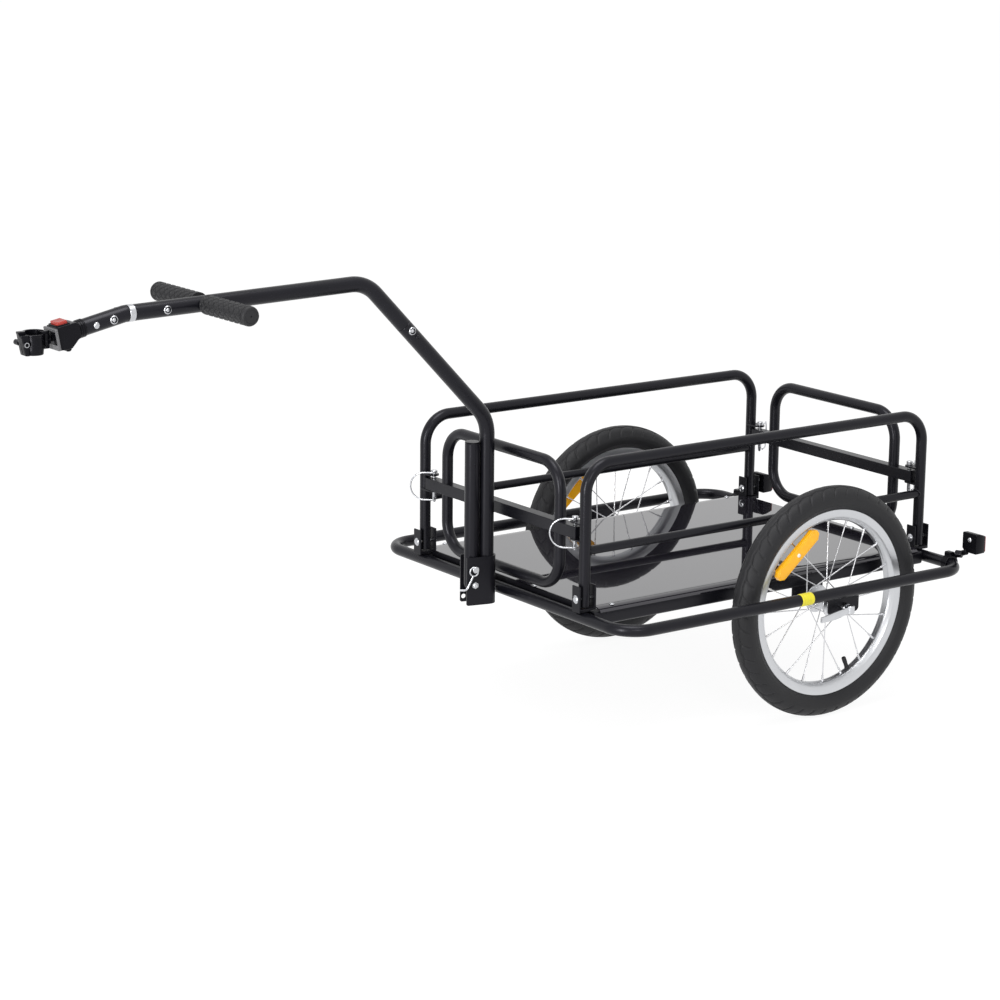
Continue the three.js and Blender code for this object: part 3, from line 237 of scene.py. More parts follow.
def pushed(outline, low, high, axis="y"):
    """A flat outline stood at two places along an axis, with a wall between the two."""
    count = len(outline)
    order = {"x": (2, 0, 1), "y": (0, 2, 1), "z": (0, 1, 2)}[axis]
    faces = [list(range(count)), list(range(2 * count - 1, count - 1, -1))]
    faces += grid_faces(2, count)
    points = np.concatenate([at_height(outline, place) for place in (low, high)])
    return points[:, order], faces


# %% Outlines and blocks
def arc(radius, first, last, count, middle):
    """Points of a circle between two angles in degrees: middle + radius * (cos a, sin a)."""
    a = np.radians(np.linspace(first, last, count))
    return np.c_[np.cos(a), np.sin(a)] * radius + middle


def rounded_outline(corners, radius, steps=5):
    """A flat outline with each corner an arc."""
    return rounded(at_height(corners, 0), radius, closed=True, steps=steps)[:, :2]


def rectangle(low, high, radius, steps=4):
    """A rectangle between two opposite corners, with round corners."""
    (x0, y0), (x1, y1) = low, high
    return rounded_outline([(x0, y0), (x1, y0), (x1, y1), (x0, y1)], radius, steps)


def slab(low, high):
    """A block between two opposite corners, as an outline in x and y pushed up z."""
    (x0, y0, z0), (x1, y1, z1) = low, high
    return pushed([(x0, y0), (x1, y0), (x1, y1), (x0, y1)], z0, z1, "z")


# %% [markdown]
# ## Holes and finished pieces
# A hole through a tab or a tube is drilled after it is shaped, on the real one and here: an
# exact Boolean cuts a round rod out of the shape, and the scratch meshes are thrown away. A
# finished piece then gets its material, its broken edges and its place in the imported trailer.

# %% Welded meshes
def welded(name, points, faces, reach):
    """A closed mesh on an object of its own. Points within reach of each other become one,
    which closes seams and poles, and all faces turn outwards."""
    mesh = bpy.data.meshes.new(name)
    mesh.from_pydata(np.asarray(points, float).tolist(), [], faces)
    shell = bmesh.new()
    shell.from_mesh(mesh)
    bmesh.ops.remove_doubles(shell, verts=shell.verts, dist=reach)
    bmesh.ops.recalc_face_normals(shell, faces=shell.faces)
    shell.to_mesh(mesh)
    shell.free()
    item = bpy.data.objects.new(name, mesh)
    bpy.context.scene.collection.objects.link(item)
    return item


# %% Drilled holes
def drilled(shape, *drills):
    """The shape less every drill, by an exact Boolean on two scratch meshes."""
    block, cutter = (welded("scratch", *part, 0.01) for part in (shape, joined(*drills)))
    cut = block.modifiers.new("holes", "BOOLEAN")
    cut.operation, cut.solver, cut.object = "DIFFERENCE", "EXACT", cutter
    seen = block.evaluated_get(bpy.context.evaluated_depsgraph_get())
    result = seen.to_mesh()
    points = np.empty(len(result.vertices) * 3)
    result.vertices.foreach_get("co", points)
    faces = [list(face.vertices) for face in result.polygons]
    seen.to_mesh_clear()
    for item in (block, cutter):
        mesh = item.data
        bpy.data.objects.remove(item)
        bpy.data.meshes.remove(mesh)
    return points.reshape(-1, 3), faces


def drill(at, axis, radius, reach=20.0, sides=28):
    """A round rod through a place, long enough to come out on both sides."""
    return lathe([(0, -reach), (radius, -reach), (radius, reach), (0, reach)], at, axis, sides)


# %% A finished piece
made = []


def piece(name, shape, finish, body, stands_for=None, bevel=0.0, sharp=38, steps=2):
    """Welds a shape in metres, gives it its finish, shades it smooth but for edges sharper than
    an angle, and fastens it to a body, in place of the frame's own node if one is named."""
    item = welded(name, in_metres(shape[0]), shape[1], 0.02 * MM)
    item.data.materials.append(finish)
    item.data.shade_smooth()
    item.data.set_sharp_from_angle(angle=math.radians(sharp))
    if bevel:
        edge = item.modifiers.new("broken_edges", "BEVEL")
        edge.width = bevel * MM
        edge.segments = steps
        edge.limit_method = "ANGLE"
        edge.angle_limit = math.radians(40)
        edge.harden_normals = True
    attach(item, body)
    if stands_for:
        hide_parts(stands_for)
    made.append(item)


# %% [markdown]
# ## Finishes
# Each finish is a Principled shader whose colour, roughness and bump come from a shared group,
# because paint, plating and moulded rubber all vary in the same way at different scales. Plain
# numbers such as metalness stay on the shader's own sockets.

# %% The shared surface grain
def new_group(name, inputs, outputs):
    """An empty shader group with named sockets, and its two end nodes."""
    group = bpy.data.node_groups.new(name, "ShaderNodeTree")
    for label, kind, value in inputs:
        socket = group.interface.new_socket(label, in_out="INPUT", socket_type=kind)
        socket.default_value = value
    for label, kind in outputs:
        group.interface.new_socket(label, in_out="OUTPUT", socket_type=kind)
    return group, group.nodes.new("NodeGroupInput"), group.nodes.new("NodeGroupOutput")


def math_node(tree, operation, first, second):
    """One sum, product or larger value of two sockets or numbers."""
    node = tree.nodes.new("ShaderNodeMath")
    node.operation = operation
    for socket, value in zip(node.inputs, (first, second)):
        if isinstance(value, (int, float)):
            socket.default_value = value
        else:
            tree.links.new(value, socket)
    return node.outputs[0]


def surface_grain():
    """Fine noise for the bump, broad noise for cloudy colour, and both mixed for roughness."""
    group, given, put = new_group(
        "surface_grain",
        [
            ("Place", "NodeSocketVector", (0, 0, 0)),
            ("Dark", "NodeSocketColor", (0, 0, 0, 1)),
            ("Light", "NodeSocketColor", (1, 1, 1, 1)),
            ("Grain", "NodeSocketFloat", 900.0),
            ("Clouds", "NodeSocketFloat", 9.0),
            ("Smooth", "NodeSocketFloat", 0.3),
            ("Rough", "NodeSocketFloat", 0.4),
        ],
        [
            ("Color", "NodeSocketColor"),
            ("Roughness", "NodeSocketFloat"),
            ("Height", "NodeSocketFloat"),
        ],
    )
    link = group.links.new
    fine = group.nodes.new("ShaderNodeTexNoise")
    fine.inputs["Detail"].default_value = 2.0
    broad = group.nodes.new("ShaderNodeTexNoise")
    broad.inputs["Detail"].default_value = 4.0
    link(given.outputs["Place"], fine.inputs["Vector"])
    link(given.outputs["Place"], broad.inputs["Vector"])
    link(given.outputs["Grain"], fine.inputs["Scale"])
    link(given.outputs["Clouds"], broad.inputs["Scale"])
    share = math_node(group, "MULTIPLY", broad.outputs[0], 0.65)
    share = math_node(group, "ADD", share, math_node(group, "MULTIPLY", fine.outputs[0], 0.35))
    colour = group.nodes.new("ShaderNodeMix")
    colour.data_type = "RGBA"
    link(share, colour.inputs["Factor"])
    link(given.outputs["Dark"], colour.inputs[6])
    link(given.outputs["Light"], colour.inputs[7])
    rough = group.nodes.new("ShaderNodeMapRange")
    link(share, rough.inputs["Value"])
    rough.inputs["From Min"].default_value = 0.3
    rough.inputs["From Max"].default_value = 0.7
    link(given.outputs["Smooth"], rough.inputs["To Min"])
    link(given.outputs["Rough"], rough.inputs["To Max"])
    link(colour.outputs[2], put.inputs["Color"])
    link(rough.outputs[0], put.inputs["Roughness"])
    link(fine.outputs[0], put.inputs["Height"])
    return group


GRAIN = surface_grain()


# %% One finish
def finish(name, dark, light, smooth, rough, grain, clouds=9.0, bump=0.05, **plain):
    """A Principled shader fed by the grain group; plain holds values for its own sockets."""
    made_of = bpy.data.materials.new(name)
    made_of.use_nodes = True
    tree = made_of.node_tree
    shader = tree.nodes["Principled BSDF"]
    place = tree.nodes.new("ShaderNodeTexCoord").outputs["Object"]
    group = tree.nodes.new("ShaderNodeGroup")
    group.node_tree = GRAIN
    tree.links.new(place, group.inputs["Place"])
    given = {"Dark": (*dark, 1), "Light": (*light, 1), "Grain": grain, "Clouds": clouds}
    given |= {"Smooth": smooth, "Rough": rough}
    for label, value in given.items():
        group.inputs[label].default_value = value
    tree.links.new(group.outputs["Color"], shader.inputs["Base Color"])
    tree.links.new(group.outputs["Roughness"], shader.inputs["Roughness"])
    relief = tree.nodes.new("ShaderNodeBump")
    relief.inputs["Strength"].default_value = bump
    relief.inputs["Distance"].default_value = 0.001
    tree.links.new(group.outputs["Height"], relief.inputs["Height"])
    tree.links.new(relief.outputs[0], shader.inputs["Normal"])
    for label, value in plain.items():
        shader.inputs[label.replace("_", " ")].default_value = value
    return made_of


# %% [markdown]
# ## The trailer's own finishes
# Each line gives the darker and lighter colour, the smoothest and roughest gloss, and the
# grain's scale. The black enamel has a cool sheen, so its mirror colour is tinted a little. The
# deck is almost a mirror. Zinc, alloy and the spokes are bare metal of rising brightness.

# %% Paint and metal
COOL = {"Specular_Tint": (0.93, 0.92, 1.0, 1)}
METAL = {"Metallic": 1.0}
enamel = finish(
    "black_enamel", (0.003, 0.003, 0.0046), (0.006, 0.006, 0.0085), 0.25, 0.34, 1100,
    bump=0.04, Specular_IOR_Level=0.25, **COOL,
)
satin = finish(
    "satin_black", (0.004, 0.004, 0.0055), (0.008, 0.008, 0.0105), 0.3, 0.42, 1500,
    bump=0.08, Specular_IOR_Level=0.2, **COOL,
)
deck_gloss = finish(
    "deck_gloss", (0.0115, 0.0105, 0.0145), (0.014, 0.013, 0.018), 0.015, 0.03, 60,
    clouds=3, bump=0.003, Coat_Weight=0.4, Coat_Roughness=0.02, **COOL,
)
zinc = finish(
    "bright_zinc", (0.40, 0.405, 0.43), (0.66, 0.67, 0.69), 0.16, 0.32, 700,
    clouds=60, bump=0.08, **METAL,
)
alloy = finish(
    "satin_alloy", (0.52, 0.53, 0.55), (0.66, 0.67, 0.69), 0.28, 0.42, 900,
    clouds=30, bump=0.06, **METAL,
)
spoke_steel = finish(
    "spoke_steel", (0.62, 0.62, 0.64), (0.78, 0.78, 0.80), 0.2, 0.32, 900,
    clouds=40, bump=0.03, **METAL,
)

# %% Rubber and plastic
tyre_rubber = finish(
    "tyre_rubber", (0.008, 0.008, 0.0094), (0.015, 0.015, 0.017), 0.44, 0.6, 1600,
    clouds=20, bump=0.2, Specular_IOR_Level=0.32,
)
grip_rubber = finish(
    "grip_rubber", (0.009, 0.009, 0.0104), (0.016, 0.016, 0.018), 0.44, 0.6, 1800,
    clouds=40, bump=0.2, Specular_IOR_Level=0.32,
)
black_plastic = finish(
    "black_plastic", (0.002, 0.002, 0.003), (0.0045, 0.0045, 0.006), 0.2, 0.32, 1600,
    clouds=40, bump=0.06, Specular_IOR_Level=0.14, **COOL,
)
grey_plastic = finish(
    "grey_plastic", (0.085, 0.085, 0.09), (0.12, 0.12, 0.125), 0.4, 0.5, 1600,
    clouds=40, bump=0.06,
)
red_plastic = finish(
    "red_plastic", (0.29, 0.020, 0.014), (0.38, 0.032, 0.020), 0.3, 0.42, 1500,
    clouds=60, bump=0.08,
)
# The amber lens has a faint emission: a painted glow that brightens it, though it is no lamp.
amber_painted_glow = finish(
    "amber_lens_painted_glow", (0.95, 0.40, 0.004), (1.0, 0.56, 0.012), 0.14, 0.28, 500,
    clouds=120, bump=0.1, Emission_Color=(1.0, 0.42, 0.0, 1), Emission_Strength=0.1,
)
white_dot = finish(
    "white_dot", (0.82, 0.82, 0.80), (0.9, 0.9, 0.88), 0.25, 0.35, 500,
    clouds=70, bump=0.05,
)
red_lens = finish(
    "red_lens", (0.22, 0.008, 0.010), (0.36, 0.016, 0.016), 0.1, 0.2, 500,
    clouds=70, bump=0.1,
)
yellow_band = finish(
    "yellow_band", (0.72, 0.62, 0.02), (0.84, 0.76, 0.04), 0.4, 0.55, 900,
    clouds=90, bump=0.08,
)
print("finishes:", len(bpy.data.materials))

# %% [markdown]
# ## The frame
# One tube is bent into a rounded rectangle outside the wheels, and its butt joint is welded.
# Two square tubes run along it between the front and the rear of that loop. A plate hangs under
# each of them at the axle, with a slot that is open at the bottom, so that a wheel drops out.
# The plates' outline is worked out once, and a ribbed yellow band marks the rail by the wheel.

# %% Outer rail
FRAME = "trailer_frame"
RAIL_Z, RAIL_Y, RAIL_R, RAIL_BEND = 230.0, 346.0, 10.0, 50.0
RAIL_FRONT, RAIL_REAR = 471.0, -275.0
loop = [(RAIL_FRONT, RAIL_Y, RAIL_Z), (RAIL_REAR, RAIL_Y, RAIL_Z)]
loop += [(RAIL_REAR, -RAIL_Y, RAIL_Z), (RAIL_FRONT, -RAIL_Y, RAIL_Z)]
outer = tube(rounded(loop, RAIL_BEND, closed=True, steps=20), RAIL_R, sides=40, closed=True)
piece("outer_rail", outer, enamel, FRAME, "outer_rail_loop")

# %% Dropout plates
WHEEL_Y, WHEEL_Z = 290.0, 200.0
SLOT_R, PLATE_HALF, PLATE_LOW, PLATE_ROUND, PLATE_THICK = 5.2, 34.0, 189.0, 8.0, 3.5


def dropout(y, top):
    """A plate with an axle slot and round lower corners: each corner is a quarter circle, and
    the slot ends in half a circle."""
    slot = arc(SLOT_R, 180, 0, 13, (0, WHEEL_Z))
    in_x, up_z = PLATE_HALF - PLATE_ROUND, PLATE_LOW + PLATE_ROUND
    right = arc(PLATE_ROUND, -90, 0, 7, (in_x, up_z))
    left = arc(PLATE_ROUND, 180, 270, 7, (-in_x, up_z))
    mouth = [(-SLOT_R, PLATE_LOW)], slot, [(SLOT_R, PLATE_LOW)]
    outline = np.concatenate([*mouth, right, [(PLATE_HALF, top), (-PLATE_HALF, top)], left])
    return pushed(outline, y - PLATE_THICK / 2, y + PLATE_THICK / 2)


plates = [dropout(s * 335.45, 232) for _, s in SIDES]
piece("outer_dropouts", joined(*plates), satin, FRAME, bevel=0.5)

# %% Marking band
BAND_X, BAND_HALF, RIB_PITCH = 96.0, 13.0, 6.5
along = np.linspace(-BAND_HALF, BAND_HALF, 53)
ribs = RAIL_R + 0.25 + 0.5 * np.abs(np.sin(math.pi * (along + BAND_HALF) / RIB_PITCH)) ** 0.5
inside = RAIL_R - 0.2
profile = [(inside, -BAND_HALF), *np.c_[ribs, along], (inside, BAND_HALF)]
band = lathe(profile, (BAND_X, RAIL_Y, RAIL_Z), X, 40)

# %% Inner rails, with the band on the left
INNER_Y, INNER_HALF, INNER_Z = 235.5, 12.5, (217.5, 240.5)
for side, s in SIDES:
    near, far = s * INNER_Y - INNER_HALF, s * INNER_Y + INNER_HALF
    section = rectangle((near, INNER_Z[0]), (far, INNER_Z[1]), 5, 8)
    rail = pushed(section, RAIL_REAR + RAIL_R + 0.3, RAIL_FRONT - RAIL_R - 0.3, "x")
    piece("inner_rail_" + side, rail, enamel, FRAME, "inner_rail_" + side)
    plate = dropout(s * 244.55, 221)
    piece("inner_dropout_" + side, plate, satin, FRAME, bevel=0.5)
    if side == "left":
        piece("rail_band", band, yellow_band, FRAME)
print("rails:", len(made), "pieces")

# %% [markdown]
# ## The deck
# The floor is a thin panel with a polished black face. It lies flat, and only its long edges
# roll down over the rails. It mirrors everything above it, so its shape matters more than its
# colour: one smooth fall at each edge, and square notches at the feet of the sides. A folded
# strip under its front and rear edge closes the gap down to the rail.

# %% Deck panel
DECK_X, DECK_Y, DECK_Z, DECK_THICK = (-263.0, 459.0), 248.5, 247.5, 2.0
NOTCH_X, NOTCH_Y, FLAT_Y = (-254.5, 449.5), 216.2, 220.0


def deck_top(y):
    """Height of the deck: flat, then a fall of 5e-6 * (distance past the flat)^4.2."""
    past = np.maximum(np.abs(np.asarray(y, float)) - FLAT_Y, 0)
    return DECK_Z - 5e-6 * past**4.2


def deck():
    """A grid over the deck without its corner notches, and the same grid lower down, with a
    wall wherever a kept square has no kept neighbour: where an edge is used only once."""
    xs = np.concatenate([[DECK_X[0]], np.linspace(*NOTCH_X, 25), [DECK_X[1]]])
    edge_ys = np.linspace(NOTCH_Y, DECK_Y, 15)
    ys = np.concatenate([-edge_ys[::-1], np.linspace(-NOTCH_Y, NOTCH_Y, 24)[1:-1], edge_ys])
    gx, gy = np.meshgrid(xs, ys, indexing="ij")
    top = np.stack([gx, gy, deck_top(gy)], -1).reshape(-1, 3)
    keep = np.ones((len(xs) - 1, len(ys) - 1), bool)
    keep[np.ix_((0, -1), np.flatnonzero(np.abs(ys[:-1] + ys[1:]) > 2 * NOTCH_Y))] = False
    number = np.arange(gx.size).reshape(gx.shape)
    corners = [number[:-1, :-1], number[1:, :-1], number[1:, 1:], number[:-1, 1:]]
    squares = np.stack(corners, -1)[keep]
    edges = np.concatenate([squares[:, [k, (k + 1) % 4]] for k in range(4)])
    keys = np.sort(edges, 1) @ [gx.size, 1]
    known, uses = np.unique(keys, return_counts=True)
    rim = edges[uses[np.searchsorted(known, keys)] == 1]
    walls = np.c_[rim, rim[:, ::-1] + gx.size]
    faces = np.concatenate([squares, squares[:, ::-1] + gx.size, walls])
    return np.concatenate([top, top - DECK_THICK * Z]), faces.tolist()


piece("deck", deck(), deck_gloss, FRAME, "deck_panel")
FOLD_Z, FOLD_THICK, FOLD_Y = (235.5, 246.4), 1.8, 216.0
folds = [
    slab((x, -FOLD_Y, FOLD_Z[0]), (x + FOLD_THICK, FOLD_Y, FOLD_Z[1]))
    for x in (DECK_X[0], DECK_X[1] - FOLD_THICK)
]
piece("deck_folds", joined(*folds), satin, FRAME)

# %% Deck screws
SCREWS = ((418, 237.6), (456, 78), (-224, 234), (-258, 74))


def pan_screw(x, y, radius=4.2):
    """A pan head: a low dome with a flat recess in its middle, on the deck."""
    z = float(deck_top(y)) + 0.05
    dome = [(0, 0), (radius, 0), (radius, 0.7), (radius * 0.8, 1.7), (radius * 0.5, 2.1)]
    recess = [(1.3, 2.2), (1.1, 1.2), (0, 1.2)]
    return lathe(dome + recess, (x, y, z), Z, 28)


screws = [pan_screw(x, s * y) for x, y in SCREWS for _, s in SIDES]
piece("deck_screws", joined(*screws), zinc, FRAME)
print("deck and", len(screws), "screws")

# %% [markdown]
# ## Feet, sides and gates
# Each side is an inverted U with a lower bar, and its ends are pinned in U-shaped feet. A gate
# is a closed loop with a square bar through it; the bar's ends sit in forks on the sides, where
# a pin drops through each. The lower bars meet the posts in welds, so a rippled bead follows
# each of those joints.

# %% Weld beads
def bead(path, radius=1.5, waves=7):
    """A weld bead: a thin closed tube whose radius ripples along it like a row of puddles."""
    ripple = np.sin(np.linspace(0, 2 * math.pi * waves, len(path), endpoint=False))
    return tube(path, radius * (1 + 0.16 * ripple), sides=8, closed=True)


def saddle(centre, radius, big, along, across, steps=56):
    """Where a round bar meets a bigger tube: the bar's ring, pushed along the bar by
    sqrt(big^2 - aside^2), which is how far the big tube's wall bulges there."""
    a = full_turn(steps)[:, None]
    aside = radius * np.cos(a)
    ring = aside * np.cross(along, across) + radius * np.sin(a) * across
    return np.asarray(centre, float) + ring + np.sqrt(np.maximum(big**2 - aside**2, 0)) * along


# %% Feet and their bolts
SIDE_Y, PIVOT_Z = 227.0, 262.0
FOOT_OUT, FOOT_IN, FOOT_TOP, FOOT_HALF = 17.0, 14.0, 284.0, 10.3
FOOT_LOW, FOOT_STEP, FOOT_FLOOR = 240.4, 242.8, 246.0


def bolt(at, axis, grip, radius, head, height):
    """A domed head at the axis's far end with a flat in its crown, a washer under it, the
    shank, and at the near end a lock nut with its collar."""
    h, end = grip + 0.3, -grip - 0.3 - height
    dome = [(0, h + height), (head * 0.42, h + height), (head * 0.8, h + height * 0.72)]
    dome += [(head, h + height * 0.25), (head, h)]
    shank = [(head * 1.12, h), (head * 1.12, h - 0.3), (radius, h - 0.3), (radius, -h)]
    nut = [(head, -h), (head, -h - height * 0.7), (radius * 1.5, end), (radius, end), (0, end)]
    return lathe(dome + shank + nut, at, axis, 30)


def foot(x, y, sign):
    """A strip bent to a U round the post's foot, with its base stepped out over the end rail."""
    outline = [(-FOOT_OUT, FOOT_TOP), (-FOOT_OUT, FOOT_STEP), (-6, FOOT_STEP), (-6, FOOT_LOW)]
    outline += [(FOOT_OUT, FOOT_LOW), (FOOT_OUT, FOOT_TOP), (FOOT_IN, FOOT_TOP)]
    outline += [(FOOT_IN, FOOT_FLOOR), (-FOOT_IN, FOOT_FLOOR), (-FOOT_IN, FOOT_TOP)]
    return pushed(np.array(outline) * [sign, 1] + [x, 0], y - FOOT_HALF, y + FOOT_HALF)


for end, x, sign in ENDS:
    for side, s in SIDES:
        y = s * SIDE_Y
        name, node = f"foot_{end}_{side}", f"foot_bracket_{end}_{side}"
        strip = foot(x, y, sign)
        piece(name, strip, satin, FRAME, node, bevel=0.9, steps=3)
        name, node = f"foot_pivot_{end}_{side}", f"foot_bolt_{end}_{side}"
        pivot = bolt((x, y, PIVOT_Z), X, FOOT_OUT, 3.6, 6.2, 2.8)
        piece(name, pivot, zinc, FRAME, node)

# %% Sides
SIDE_TOP, SIDE_LOW, HOOP_BEND, POST_R = 482.0, 248.0, 48.0, 9.5
MID_R, MID_Z = 7.3, 340.0
TAB_Z, TAB_HALF, TAB_NOSE, PIN_HOLE_R = ((354.7, 357.7), (383.0, 386.0)), 10.0, 3.0, 3.6


def tab(x, s, low, high):
    """A fork plate: square where it meets the post, and half a circle round the pin."""
    nose = arc(TAB_HALF, 0, -180 * s, 15, (x, s * (PIN_Y + TAB_NOSE)))
    post_y = s * SIDE_Y
    outline = np.concatenate([[(x + TAB_HALF, post_y)], nose, [(x - TAB_HALF, post_y)]])
    return pushed(outline, low, high, "z")


for side, s in SIDES:
    y = s * SIDE_Y
    corners = [(FRONT_X, y, SIDE_LOW), (FRONT_X, y, SIDE_TOP)]
    corners += [(REAR_X, y, SIDE_TOP), (REAR_X, y, SIDE_LOW)]
    hoop = tube(rounded(corners, HOOP_BEND, steps=20), POST_R, sides=36, bore=7.7)
    bar = tube([(FRONT_X, y, MID_Z), (REAR_X, y, MID_Z)], MID_R, sides=32)
    name = "side_hoop_" + side
    piece(name, joined(hoop, bar), enamel, FRAME, name)
    beads = [
        bead(saddle((x, y, MID_Z), MID_R + 0.6, POST_R + 0.3, -sign * X, Z))
        for _, x, sign in ENDS
    ]
    piece("side_welds_" + side, joined(*beads), enamel, FRAME)
    tabs = joined(*[tab(x, s, *level) for _, x, _ in ENDS for level in TAB_Z])
    forks = drilled(tabs, *[drill((x, s * PIN_Y, 370), Z, PIN_HOLE_R, 30) for _, x, _ in ENDS])
    piece("side_forks_" + side, forks, enamel, FRAME, bevel=0.5)

# %% Gates
GATE_Y, GATE_Z = 160.0, (264.6, 470.6)
CROSS_Y, CROSS_Z, CROSS_HALF = 213.0, 368.0, 10.0
for end, x, _ in ENDS:
    corners = [(x, GATE_Y, GATE_Z[1]), (x, -GATE_Y, GATE_Z[1])]
    corners += [(x, -GATE_Y, GATE_Z[0]), (x, GATE_Y, GATE_Z[0])]
    ring = tube(rounded(corners, HOOP_BEND, closed=True, steps=20), POST_R, 36, closed=True)
    name, body = end + "_gate", end + "_gate_body"
    piece(name, ring, enamel, body, name)
    low = (x - CROSS_HALF, -CROSS_Y, CROSS_Z - CROSS_HALF)
    high = (x + CROSS_HALF, CROSS_Y, CROSS_Z + CROSS_HALF)
    holes = [drill((x, s * PIN_Y, CROSS_Z), Z, PIN_HOLE_R) for _, s in SIDES]
    crossbar = drilled(slab(low, high), *holes)
    piece(end + "_crossbar", crossbar, enamel, body, bevel=1.2, steps=3)
print("feet, sides and gates:", len(made), "pieces so far")

# %% [markdown]
# ## Lock pins
# A lock pin is a turned shank with a drum head. A spring wire goes through the head, bows out,
# and hooks under the shank's tip, so the pin can't climb out. The wire is a tube along a line
# in space: out of the head, round a half circle, and back below the fork.

# %% Pins and bails
HEAD_Z, TIP_Z, BAIL_REACH, BAIL_ASIDE = 389.55, 341.5, 16.0, 8.8
PIN = [(0, 336.5), (1.6, 336.5), (3.2, 340), (3.2, 386.3), (5.1, 386.3), (5.5, 386.8)]
PIN += [(5.5, 392.2), (4.9, 392.8), (0, 392.8)]


def bail(base, out, across):
    """The wire's line: two short bends out of the head, then base + (reach + bow sin a) * out +
    (middle + bow cos a) * up for half a turn, and the hook under the shank."""
    bow, middle = (HEAD_Z - TIP_Z) / 2, (HEAD_Z + TIP_Z) / 2
    a = np.linspace(0, math.pi, 25)[:, None]
    curve = base + (BAIL_REACH + bow * np.sin(a)) * out + (middle + bow * np.cos(a)) * Z
    head, tip = base + HEAD_Z * Z, base + TIP_Z * Z
    leave = [head + 3.5 * across, head + 7.3 * across, head + BAIL_ASIDE * across + 3 * out]
    hook = [tip + 7.6 * across + 4 * out, tip - 3.2 * out + 5.0 * across]
    return np.concatenate([leave, curve + BAIL_ASIDE * across, hook])


for end, x, sign in ENDS:
    for side, s in SIDES:
        tag = f"{end}_{side}"
        base = np.array([x, s * PIN_Y, 0.0])
        shank = lathe(PIN, base, Z, 32)
        piece("lock_pin_" + tag, shank, zinc, tag + "_pin", "gate_pin_" + tag)
        out = unit([sign, -1, 0])
        wire = tube(bail(base, out, np.cross(Z, out) * sign), 1.45, sides=14, chamfer=0.5)
        piece("wire_bail_" + tag, wire, zinc, tag + "_bail", "pin_bail_" + tag)

# %% [markdown]
# ## Wheels
# The tyre is a spun profile whose radius dips along thin lines: a zigzag beside the middle of
# the tread, and curved cuts from it out to the shoulder. Working the dips out on the grid costs
# nothing and keeps the silhouette honest, where a bump in the material would leave it smooth.

# %% Tyre
TYRE_MIDDLE, TYRE_HALF, TYRE_RISE, BLOCKS, GROOVE = 178.5, 22.0, 21.5, 45, 2.0


def tyre(y, around=720):
    """Radius 178.5 + 21.5 sin a and width 22 cos a about the tube's middle, less 2 mm in the
    grooves, with two fine ribs on each wall. A groove's edge is exp(-(distance / width)^2)."""
    walls = [np.linspace(-57, 30, 22), np.linspace(32, 148, 48), np.linspace(150, 237, 22)]
    a = np.radians(np.concatenate(walls))
    wide, turn = np.meshgrid(TYRE_HALF * np.cos(a), full_turn(around))
    lift = np.broadcast_to(TYRE_RISE * np.sin(a), wide.shape)
    block = turn * BLOCKS / (2 * math.pi) + 0.5 * (wide > 0)
    zigzag = 6.0 + 3.2 * np.abs(2 * (block % 1) - 1)
    edge = np.exp(-(((np.abs(wide) - zigzag) / 1.1) ** 2))
    sweep = (block + 0.035 * (np.abs(wide) - 8)) % 1
    pitch = 2 * math.pi / BLOCKS * 195
    cut = np.exp(-((np.minimum(sweep, 1 - sweep) * pitch / 1.6) ** 2))
    cut = cut * (np.abs(wide) > zigzag) * (np.abs(wide) < 20.5) * (lift > 4)
    rib = 0.5 * np.exp(-(((lift + 9) / 0.9) ** 2)) + 0.4 * np.exp(-(((lift - 3) / 0.8) ** 2))
    depth = rib - GROOVE * (lift > 2) * np.maximum(edge, cut)
    across = wide + depth * np.cos(a)
    radius = TYRE_MIDDLE + lift + depth * np.sin(a)
    points = [radius * np.cos(turn), y + across, WHEEL_Z + radius * np.sin(turn)]
    return np.stack(points, -1).reshape(-1, 3), grid_faces(around, len(a), wrap_rows=True)


# %% [markdown]
# ## Rim, hub and spokes
# The rim is a bent box section with a well for the tyre, so one closed profile is spun. Twenty
# wires cross from the hub to the rim, each with an elbow in its flange and a nipple at the rim.
# An amber plate with a faint painted glow, and its rivet, sit among the spokes, and the valve
# stands out of the rim.

# %% Rim and hub
RIM_IN = 141.0
RIM = [(161.4, -13.4), (160.8, -14.3), (148.6, -13.9), (147.4, -13.2), (142.4, -7.6)]
RIM += [(141.2, -5.2), (RIM_IN, -1.2), (141.4, 0)]
RIM += [(r, -w) for r, w in RIM[-2::-1]]
RIM += [(160.6, 11.6), (152, 11.6), (152, -11.6), (160.6, -11.6), (161.4, -13.4)]


def hub(y):
    """Two flanges, a waisted body between them, and a bearing cap outside each: half of the
    profile, mirrored."""
    half = [(11.5, 0), (11.8, 10), (14, 18), (23.6, 19.2), (24, 19.8), (24, 22.2), (23.6, 22.8)]
    half += [(16, 23.4), (14.5, 27), (14.2, 31), (9.5, 33), (9.2, 36), (8.5, 36.4)]
    half += [(8.5, 43.2), (3.7, 43.4)]
    profile = [(r, -h) for r, h in half[::-1]] + half[1:] + [(3.7, -43.4)]
    return lathe(profile, (0, y, WHEEL_Z), Y, 56)


# %% Spokes
SPOKES, SPOKE_R, FLANGE_R, FLANGE_Y = 20, 1.0, 20.5, 21.0
NIPPLE = [(1.0, -12), (1.7, -11.5), (1.9, -2), (2.3, -1), (2.3, 0.5), (0, 0.5)]


